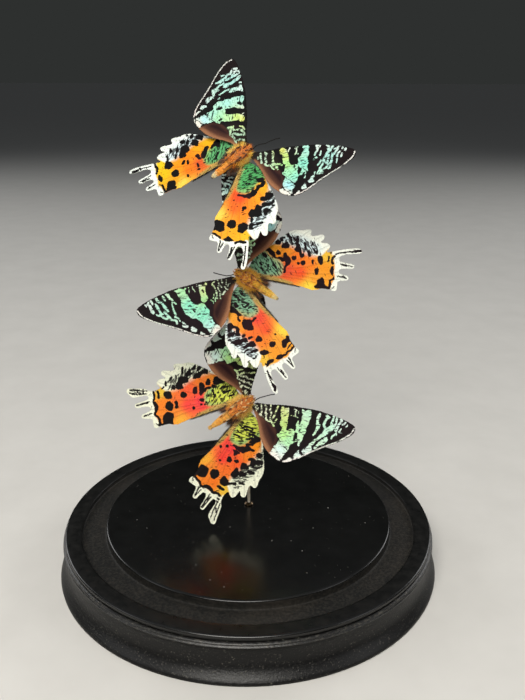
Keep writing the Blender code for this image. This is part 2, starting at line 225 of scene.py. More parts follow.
def mottled(name, scale, spread, tones, roughness, bump=None, span=(0.3, 0.8), **values):
    """A material mottled between two tones by noise of a scale in turns per metre.  Its
    roughness is one value, or a range over the same noise; its bump a strength and a depth."""
    material, tree, shader = make_material(name, **values)
    place = add_node(tree, "ShaderNodeTexCoord")
    tone, noise = speckle(tree, place.outputs["Object"], scale, *spread, [linear(tone) for tone in tones])
    tree.links.new(tone, shader.inputs["Base Color"])
    if isinstance(roughness, tuple):
        dull = add_node(tree, "ShaderNodeMapRange", {"Value": noise, "From Min": span[0], "From Max": span[1],
                                                     "To Min": roughness[0], "To Max": roughness[1]})
        tree.links.new(dull.outputs["Result"], shader.inputs["Roughness"])
    else:
        shader.inputs["Roughness"].default_value = roughness
    if bump:
        relief = add_node(tree, "ShaderNodeBump", {"Height": noise, "Strength": bump[0], "Distance": bump[1]})
        tree.links.new(relief.outputs["Normal"], shader.inputs["Normal"])
    return material


# Polished lacquer on the plateau: near black, with soft mirror images under a faint haze in
# patches 11 mm across.
lacquer_polished = mottled("polished_black_lacquer", 90.0, (0.35, 0.75), ("050504", "0A0A09"), (0.19, 0.28),
                           IOR=1.5, Specular_IOR_Level=0.5)

# Dusty matt lacquer in the groove: grey-brown grains about 1 mm across, in patches of 22 mm.
lacquer_dusty = mottled("dusty_matt_lacquer", 900.0, (0.42, 0.72), ("0C0C0A", "35322C"), 0.62, (0.35, 0.0003),
                        IOR=1.5, Specular_IOR_Level=0.3)
tree = lacquer_dusty.node_tree
shader = tree.nodes["Principled BSDF"]
grain = shader.inputs["Base Color"].links[0].from_socket
place = add_node(tree, "ShaderNodeTexCoord")
patches, _ = speckle(tree, place.outputs["Object"], 45.0, 0.45, 0.7, (linear("0A0A09"), linear("28241F")))
blend = add_node(tree, "ShaderNodeMix", {0: 0.5, 6: grain, 7: patches}, data_type="RGBA")
tree.links.new(blend.outputs[2], shader.inputs["Base Color"])

# Satin lacquer on the rim: black, with broad soft highlights and a faint unevenness of 4 mm.
lacquer_satin = mottled("satin_black_lacquer", 260.0, (0.4, 0.8), ("0A0A09", "161513"), (0.26, 0.42),
                        (0.12, 0.0002), IOR=1.5, Specular_IOR_Level=0.35)

# Worn lacquer on the bead: grey in flecks of about 1.2 mm, where handling has rubbed it.
lacquer_worn = mottled("worn_black_lacquer", 800.0, (0.50, 0.74), ("0A0A09", "4A4740"), 0.36, (0.4, 0.0004),
                       IOR=1.5, Specular_IOR_Level=0.45)

# Speckled lacquer on the cove and foot: black with pale dust specks under 1 mm across, drawn
# a little coarser than real so that they show.
lacquer_speckled = mottled("speckled_black_lacquer", 1300.0, (0.60, 0.76), ("060606", "5A5850"), (0.30, 0.5),
                           (0.35, 0.0003), IOR=1.5, Specular_IOR_Level=0.3)

points, faces, finishes = turned(BASE_PROFILE, BASE_STEPS)
base = add_piece("lacquered_base", points, faces,
                 (lacquer_polished, lacquer_dusty, lacquer_satin, lacquer_worn, lacquer_speckled),
                 finishes, replaced=("dome_base",))

# The stem's hole, 1.8 mm across and 8 mm deep, is drilled behind the middle.
HOLE_RADIUS, HOLE_FLOOR, DRILL_TOP = 0.9, 13.4, 24.0
bit = ((0.0, DRILL_TOP, 0), (HOLE_RADIUS, DRILL_TOP, 0), (HOLE_RADIUS, HOLE_FLOOR, 0), (0.0, HOLE_FLOOR, 0))
points, faces, _ = turned(bit, 24)
drill_mesh = bpy.data.meshes.new("drill")
drill_mesh.from_pydata(points, [], faces)
drill = bpy.data.objects.new("drill", drill_mesh)
drill.location = (STEM_FOOT[0] * MM, STEM_FOOT[1] * MM, 0.0)
bpy.context.scene.collection.objects.link(drill)
cut = base.modifiers.new("stem_hole", "BOOLEAN")
cut.solver = "EXACT"
cut.operation = "DIFFERENCE"
cut.object = drill
bpy.context.view_layer.update()
bored = bpy.data.meshes.new_from_object(base.evaluated_get(bpy.context.evaluated_depsgraph_get()))
base.modifiers.clear()
base.data = bored
bpy.data.objects.remove(drill, do_unlink=True)
base.data.set_sharp_from_angle(angle=math.radians(32.0))

# Specks of dust and lint on the plateau: thin torn flakes under 1 mm across, and a hundred
# finer ones strewn round the stem, as fallen from the moths and the air.
FLAKES, FLAKE_CORNERS = 120, 7
DUST_REACH, STEM_CLEAR = 62.0, 5.0
DUST = (
    # (x, y) in mm of the larger flakes
    (-8.0, -12.2), (10.5, -23.1), (18.7, -23.1), (-44.7, -13.2), (-50.1, -6.6), (36.8, 4.2), (52.3, -8.6),
    (28.8, -12.8), (23.1, -30.5), (-14.4, -50.7), (-8.6, -55.2), (-20.8, -40.7), (24.3, -45.9),
)
rng = random.Random(7)
spots = [(x, y, 0.24) for x, y in DUST]
while len(spots) < FLAKES:
    x, y = rng.uniform(-DUST_REACH, DUST_REACH), rng.uniform(-DUST_REACH, DUST_REACH)
    if math.hypot(x, y) < DUST_REACH and math.hypot(x, y - STEM_FOOT[1]) > STEM_CLEAR:
        spots.append((x, y, rng.uniform(0.05, 0.10)))
points, faces = [], []
for x, y, size in spots:
    turn, first = rng.uniform(0, 6.28), len(points)
    for layer in (0.02, 0.10):
        for corner in range(FLAKE_CORNERS):
            angle = turn + 2 * math.pi * corner / FLAKE_CORNERS
            reach = size * rng.uniform(0.6, 1.2) * (1.0 if corner % 3 else 1.3)
            points.append(((x + reach * math.cos(angle)) * MM, (y + 0.6 * reach * math.sin(angle)) * MM,
                           (PLATEAU_TOP + layer + 0.3 * size * (layer > 0.05) * rng.random()) * MM))
    lower = [first + corner for corner in range(FLAKE_CORNERS)]
    upper = [corner + FLAKE_CORNERS for corner in lower]
    faces += [tuple(lower[::-1]), tuple(upper)]
    faces += list(zip(lower, lower[1:] + lower[:1], upper[1:] + upper[:1], upper))
# Flakes are dull pale grey, and vary from one to the next.
lint = mottled("pale_dust_flake", 3000.0, (0.3, 0.7), ("5E5C58", "A8A6A0"), 0.9)
add_piece("plateau_dust", points, faces, (lint,), smooth=False)


# The ferrule: a low brass collar pressed round the foot of the stem, dull and brown with age.
# The stem: drawn brass wire 1.2 mm thick under a pale bloom of old lacquer, which hides most
# of the metal; it leans back behind the moths.
def metal(name, clean, tarnish, roughness, grain, metallic=1.0):
    """Aged metal: a clean colour under brown tarnish in patches of a size in millimetres."""
    return mottled(name, 1000.0 / grain, (0.40, 0.68), (clean, tarnish), (roughness, roughness + 0.18),
                   (0.1, 0.0001), (0.3, 0.75), Metallic=metallic)


def refinish(node, material):
    """Give a CAD node that is shown as it is its finished material."""
    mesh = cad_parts[node].data
    for index in range(len(mesh.materials)):
        mesh.materials[index] = material


refinish("stem_ferrule", metal("tarnished_brass", "72604A", "17110B", 0.16, 0.9))
refinish("stem", metal("lacquered_brass_wire", "FBF0DC", "E6CFA6", 0.40, 3.0, 0.15))

# The pins: short bright steel pins, one for each moth, from the stem into the back of its
# thorax, where the moth hides it.
pin_finish = metal("bright_pin_steel", "C8C8C8", "8C8A88", 0.22, 1.0)
for moth_name in ("top_moth", "middle_moth", "bottom_moth"):
    refinish(moth_name + "_pin", pin_finish)


# The moths: three dried sunset moths, undersides to the front, one above another.  Their
# wings are spread flat as set on a board, and each is held by its root in the thorax.
MOTHS = (
    {
        "name": "top_moth", "place": (-2.1, 3.1, 179.9), "scale": 0.943,
        "heading": 40.5, "lean": 28.4, "turn": -1.9, "tail": "slender", "body_shift": (-1.1, 1.0),
        "left_forewing": (7.5, 11.4, -1.1), "right_forewing": (-9.3, -7.1, 2.3),
        "left_hindwing": (7.7, 10.0, 0.6), "right_hindwing": (-6.5, -19.0, 5.0),
    },
    {
        "name": "middle_moth", "place": (-1.2, 2.6, 131.0), "scale": 0.986,
        "heading": 146.6, "lean": 19.9, "turn": 1.1, "tail": "slender", "body_shift": (0.2, 0.0),
        "left_forewing": (-0.2, 18.1, 2.0), "right_forewing": (-3.9, 10.2, 0.6),
        "left_hindwing": (1.7, 5.1, -0.3), "right_hindwing": (-3.0, 8.0, -5.8),
    },
    {
        "name": "bottom_moth", "place": (-2.0, 4.2, 73.2), "scale": 1.074,
        "heading": 36.1, "lean": 20.1, "turn": -3.1, "tail": "broad", "body_shift": (-0.2, 0.0),
        "left_forewing": (0.4, 21.3, -3.2), "right_forewing": (0.7, 24.6, -0.7),
        "left_hindwing": (-4.8, 3.8, -2.7), "right_hindwing": (-3.8, -8.3, -1.1),
    },
)
FORE_JOINT, HIND_JOINT, WING_LAYER = (2.2, 3.0), (2.4, -1.5), 0.8
FORE_OUTLINE = (
    (0.0, 1.6), (1.5, 3.4), (3.5, 5.4), (5.5, 7.8), (7.5, 10.3), (10.0, 13.0), (12.5, 15.4),
    (15.0, 17.9), (18.0, 20.6), (21.0, 22.9), (24.0, 24.9), (27.0, 26.8), (29.5, 28.1),
    (31.6, 28.8), (33.1, 28.4), (33.9, 27.0), (34.1, 25.0), (33.8, 22.0), (33.1, 18.5),
    (32.2, 15.0), (31.4, 11.5), (30.9, 9.0), (30.4, 6.2), (29.8, 3.4), (29.1, 1.0),
    (28.3, -1.0), (27.2, -2.6), (25.4, -3.9), (23.4, -4.6), (21.2, -5.0), (18.5, -5.2),
    (16.0, -5.0), (13.2, -4.3), (11.0, -3.4), (8.5, -2.4), (5.6, -1.6), (2.6, -0.9), (0.3, -0.4),
)
HIND_COSTA = (
    (1.2, 2.0), (4.5, 2.8), (8.5, 2.6), (12.0, 1.7), (14.5, 0.6), (16.8, -0.7), (19.0, -1.8),
    (21.0, -2.8), (22.8, -3.7), (24.6, -4.8), (26.0, -6.1), (26.7, -7.5),
)
HIND_LOBES = (
    (27.6, -9.0), (28.8, -10.3), (29.3, -11.3), (28.7, -12.1), (27.5, -12.6), (27.7, -13.7),
    (28.7, -15.0), (29.9, -16.3), (30.3, -17.4), (29.6, -18.2), (28.2, -18.0), (27.1, -17.7),
    (27.7, -19.2), (28.2, -20.6), (28.0, -21.8), (26.9, -22.2), (25.6, -21.9), (25.0, -22.5),
)
LONG_TAIL = {
    "slender": (
        (26.2, -23.8), (28.2, -26.0), (30.2, -28.4), (32.0, -30.8), (33.2, -33.0), (33.3, -34.3),
        (32.3, -34.6), (30.9, -33.3), (29.6, -31.4), (28.2, -29.4), (26.8, -28.2), (25.4, -27.9),
    ),
    "broad": (
        (25.6, -24.6), (26.9, -26.4), (28.8, -27.4), (30.4, -29.2), (32.2, -31.4), (33.7, -33.4),
        (32.9, -34.4), (31.0, -34.3), (29.2, -33.7), (27.9, -31.7), (26.7, -29.3), (25.4, -28.2),
    ),
}
HIND_HEM = (
    (24.6, -28.8), (24.9, -30.4), (25.8, -32.8), (26.3, -34.5), (25.5, -35.3), (24.4, -34.8),
    (23.3, -32.7), (22.3, -31.1), (21.1, -30.4), (20.2, -31.1), (20.4, -32.8), (20.9, -34.6),
    (20.4, -35.6), (19.3, -35.4), (18.2, -34.0), (17.3, -32.8), (16.2, -32.6), (14.9, -33.3),
    (13.4, -33.8), (12.5, -33.0), (12.3, -31.5), (11.5, -29.6), (10.4, -27.8), (9.2, -26.6),
)
HIND_INNER = (
    (8.2, -25.0), (7.6, -22.5), (7.0, -20.0), (6.0, -17.0), (5.0, -14.0), (4.0, -11.0),
    (2.9, -8.0), (1.9, -5.5), (1.0, -3.2), (0.5, -1.0),
)


def moth_matrix(moth):
    """World matrix whose X, Y, Z are the moth's left, head and ventral directions."""
    heading = math.radians(moth["heading"])
    facing = Matrix((
        (math.sin(heading), math.cos(heading), 0.0),
        (0.0, 0.0, -1.0),
        (-math.cos(heading), math.sin(heading), 0.0),
    )).to_4x4()
    lean = Matrix.Rotation(-math.radians(moth["lean"]), 4, "X")
    turn = Matrix.Rotation(math.radians(moth["turn"]), 4, "Z")
    place = Matrix.Translation(Vector(moth["place"]) * MM)
    return place @ turn @ lean @ facing @ Matrix.Scale(moth["scale"], 4)


def wing_matrix(moth, wing):
    """Place of a wing whose outline lies in its XY plane, mirrored for the right side."""
    side = 1.0 if wing.startswith("left") else -1.0
    fore = wing.endswith("forewing")
    joint = FORE_JOINT if fore else HIND_JOINT
    sweep, dihedral, twist = (math.radians(angle) for angle in moth[wing])
    slant = math.radians(45.0 if fore else -45.0)
    axis = (math.cos(slant), side * math.sin(slant), 0.0)
    move = Matrix.Translation(Vector((side * joint[0], joint[1], WING_LAYER if fore else -WING_LAYER)) * MM)
    lift = Matrix.Rotation(-side * dihedral, 4, "Y")
    swing = Matrix.Rotation(side * sweep, 4, "Z")
    return moth_matrix(moth) @ move @ lift @ swing @ Matrix.Rotation(twist, 4, axis)


def placed(matrix, points):
    """Points in a piece's own millimetres, moved to the world in metres."""
    grid = np.array(matrix)
    return (np.asarray(points) * MM) @ grid[:3, :3].T + grid[:3, 3]


def rounded(corners, step, closed=True):
    """A smooth curve through corner points, resampled at an even step."""
    corners = np.asarray(corners, dtype=float)
    if len(corners) < 3:
        return corners
    if closed:
        ring = np.vstack((corners[-1], corners, corners[:2]))
    else:
        ring = np.vstack((2 * corners[0] - corners[1], corners, 2 * corners[-1] - corners[-2]))
    curve = []
    for a, b, c, d in zip(ring[:-3], ring[1:-2], ring[2:-1], ring[3:]):
        count = max(1, int(round(np.linalg.norm(c - b) / step)))
        t = (np.arange(count) / count)[:, None]
        curve.append(0.5 * (2 * b + (c - a) * t + (2 * a - 5 * b + 4 * c - d) * t ** 2
                            + (3 * b - a - 3 * c + d) * t ** 3))
    if not closed:
        curve.append(corners[-1:])
    return np.vstack(curve)


def distance(points, line):
    """Distance of each point from a line of joined segments."""
    best = np.full(len(points), 1e9)
    if len(line) == 1:
        return np.hypot(*(points - line[0]).T)
    for a, b in zip(line[:-1], line[1:]):
        along = b - a
        part = np.clip((points - a) @ along / max(along @ along, 1e-12), 0.0, 1.0)
        best = np.minimum(best, np.hypot(*(points - a - part[:, None] * along).T))
    return best


def inside(points, ring):
    """Which points lie inside a closed ring."""
    hit = np.zeros(len(points), dtype=bool)
    x, y = points.T
    for (ax, ay), (bx, by) in zip(ring, np.roll(ring, -1, axis=0)):
        if ay == by:
            continue
        crosses = ((ay > y) != (by > y)) & (x < (bx - ax) * (y - ay) / (by - ay) + ax)
        hit ^= crosses
    return hit


PATCH_SWELL = 0.05             # how much fuller than its corners a patch is drawn, in mm


def depth_outside(points, marks):
    """Signed distance in mm from the nearest mark: negative inside it.  A mark is a
    half-width and the points of a stroke, or 0 and the corners of a filled patch."""
    best = np.full(len(points), 1e9)
    for mark in marks:
        width, corners = mark[0], np.asarray(mark[1:], dtype=float).reshape(-1, 2)
        if width == 0:
            ring = rounded(corners, 0.5)
            away = distance(points, np.vstack((ring, ring[:1])))
            away = np.where(inside(points, ring), -away, away) - PATCH_SWELL
        else:
            away = distance(points, rounded(corners, 0.6, closed=False)) - width
        best = np.minimum(best, away)
    return best


GRID = 0.38                    # spacing of a wing's mesh points in mm
ROW_SHARE = 0.866              # rows lie this much closer in a grid of even-sided triangles
JITTER = 0.03                  # how far the points stray in mm, so that the grid doesn't show
FRAY = (-0.10, 0.12)           # how far the edge is frayed, inward and outward, in mm


def wing_plan(outline, seed):
    """Flat triangulated sheet within an outline whose edge is slightly frayed."""
    rng = np.random.default_rng(seed)
    rim = rounded(outline, GRID)
    along = np.roll(rim, -1, axis=0) - np.roll(rim, 1, axis=0)
    away = np.stack((along[:, 1], -along[:, 0]), axis=1) / np.hypot(*along.T)[:, None]
    sign = 1.0 if inside(rim[:1] - 0.05 * away[:1], rim)[0] else -1.0
    fray = rng.uniform(*FRAY, len(rim))
    rim = rim + sign * away * fray[:, None]
    low, high = rim.min(axis=0), rim.max(axis=0)
    rows = []
    for row, v in enumerate(np.arange(low[1], high[1], GRID * ROW_SHARE)):
        u = np.arange(low[0] + (row % 2) * GRID / 2, high[0], GRID)
        rows.append(np.stack((u, np.full(len(u), v)), axis=1))
    grid = np.vstack(rows)
    grid = grid + rng.uniform(-JITTER, JITTER, grid.shape)
    clear = inside(grid, rim) & (distance(grid, np.vstack((rim, rim[:1]))) > 0.45 * GRID)
    flat = np.vstack((rim, grid[clear]))
    points, _, faces, _, _, _ = delaunay_2d_cdt(
        [Vector(p) for p in flat.tolist()], [], [list(range(len(rim)))], 1, 1e-6)
    return np.array([tuple(p) for p in points]), np.array(faces), rim


FORE_PLAN = wing_plan(FORE_OUTLINE, 3)
HIND_PLANS = {tail: wing_plan(HIND_COSTA + HIND_LOBES + LONG_TAIL[tail] + HIND_HEM + HIND_INNER, 5)
              for tail in ("slender", "broad")}

# Veins, which stand up as fine ridges and show as thin dark lines across the light bands.
FORE_VEINS = (
    (0.5, 1.8, 6, 6.5, 12, 12.5, 20, 20, 27, 25.5, 32, 28), (1, 1.2, 8, 5.8, 14, 11.5, 21, 18.5, 33, 26.4),
    (14, 11.5, 22, 16.5, 33.5, 24), (14.5, 10.2, 23, 14, 33.2, 20.6), (14.8, 8.6, 24, 11, 32.6, 17),
    (14.6, 6.6, 24, 7.6, 31.9, 13.4), (14, 5, 24, 4.6, 31, 9.6), (12.5, 3.4, 22, 2.2, 30.2, 5.6),
    (1, 0.8, 8, 2.4, 14, 3.2, 21, 0.6, 29.2, 1.6), (1, 0.4, 9, 0, 17, -1.6, 27.4, -2),
)
HIND_VEINS = (
    (1, 0.8, 8, 0.6, 16, -1.6, 26, -6.5), (1, 0.2, 8, -2.2, 16, -6, 29, -11.3),
    (9, -4.4, 17, -10, 29.8, -17), (8.6, -6, 16, -13.5, 27.8, -21.4),
    (8, -7.6, 14.5, -17, 22, -24.5, 32.5, -33.6), (7, -8.4, 12.8, -19, 18, -28, 25.4, -34.6),
    (6, -8, 10.8, -18, 15, -28, 20, -35), (1, -1, 5, -8, 9.4, -18, 12.4, -28, 13.6, -33),
)
# Where the scale colours are given, in (u, v) mm of the left wing.
FORE_SPOTS = (
    (9, 10), (12, 9), (15, 6.5), (18.5, 4), (21.5, 4), (20, 11), (16.5, 16.5), (22.5, -0.5),
    (23.5, -3.8), (28, 6), (26, 20), (19.5, 21), (29, 26), (30, -1), (6, 3), (11, 12.5),
)
FORE_TINTS = {
    "top_moth_left_forewing":
        "D8E070 C8E67C A9E08C 9EE6B4 93E6C8 8EE6CF A9E8D6 A6E6EA ECE6DA C6E0DA A6DCD2 DDEEE6 D2E6E0 F0E8E2 "
        "C0DCC4 E6F0E4",
    "top_moth_right_forewing":
        "D8E070 C8E67C B8E8A8 A8E8B8 A8E8D0 A8E8D8 B0E8D8 B8ECEC ECE6DA C8E2DC A8E0D8 D0ECE4 D2E6E0 F0E8E2 "
        "A8CDB2 E6F0E4",
    "middle_moth_right_forewing":
        "D0DC98 C0D890 A0D490 8AE0C0 8AE0C0 8AE0C0 A8E0A8 A8E4D8 E6E0D6 D8E4DE A8DCC8 C8E6C8 D0E0D8 ECE4E0 "
        "C8D4BC D8E8D8",
    "bottom_moth_left_forewing":
        "DDE89A CFE08A BCD87A B4E890 B0E8B0 B8E8B8 C0E8C8 D5F0E8 F0ECE4 D8ECE4 C0E8D0 D0ECD8 D8ECE4 F4EEEA "
        "E4E8CC E8F0DC",
}
# The wings that are hidden behind another moth repeat a shown wing's markings.
SAME_AS = {"middle_moth_left_forewing": "top_moth_left_forewing",
           "bottom_moth_right_forewing": "bottom_moth_left_forewing"}
# The silky brown patch by the hind edge, and the pale line along the outer margin.
SILK = (3, -0.6, 5, 0.2, 7, 0.6, 8.6, 1.0, 10.5, 1.4, 13, 2.2, 15, 2.2, 16.5, 1.4, 18, 0.8, 19.2, -0.3,
        20.2, -1.9, 20.8, -3.0, 20.6, -5.4, 0, -3)
MARGIN = (32.6, 28.3, 33.4, 26.5, 33.6, 24, 33.1, 19.5, 32.1, 15.5, 31.1, 11.5, 30.5, 8.8, 30, 5.6, 29.2, 2,
          28.2, -0.6, 27.2, -2.0)
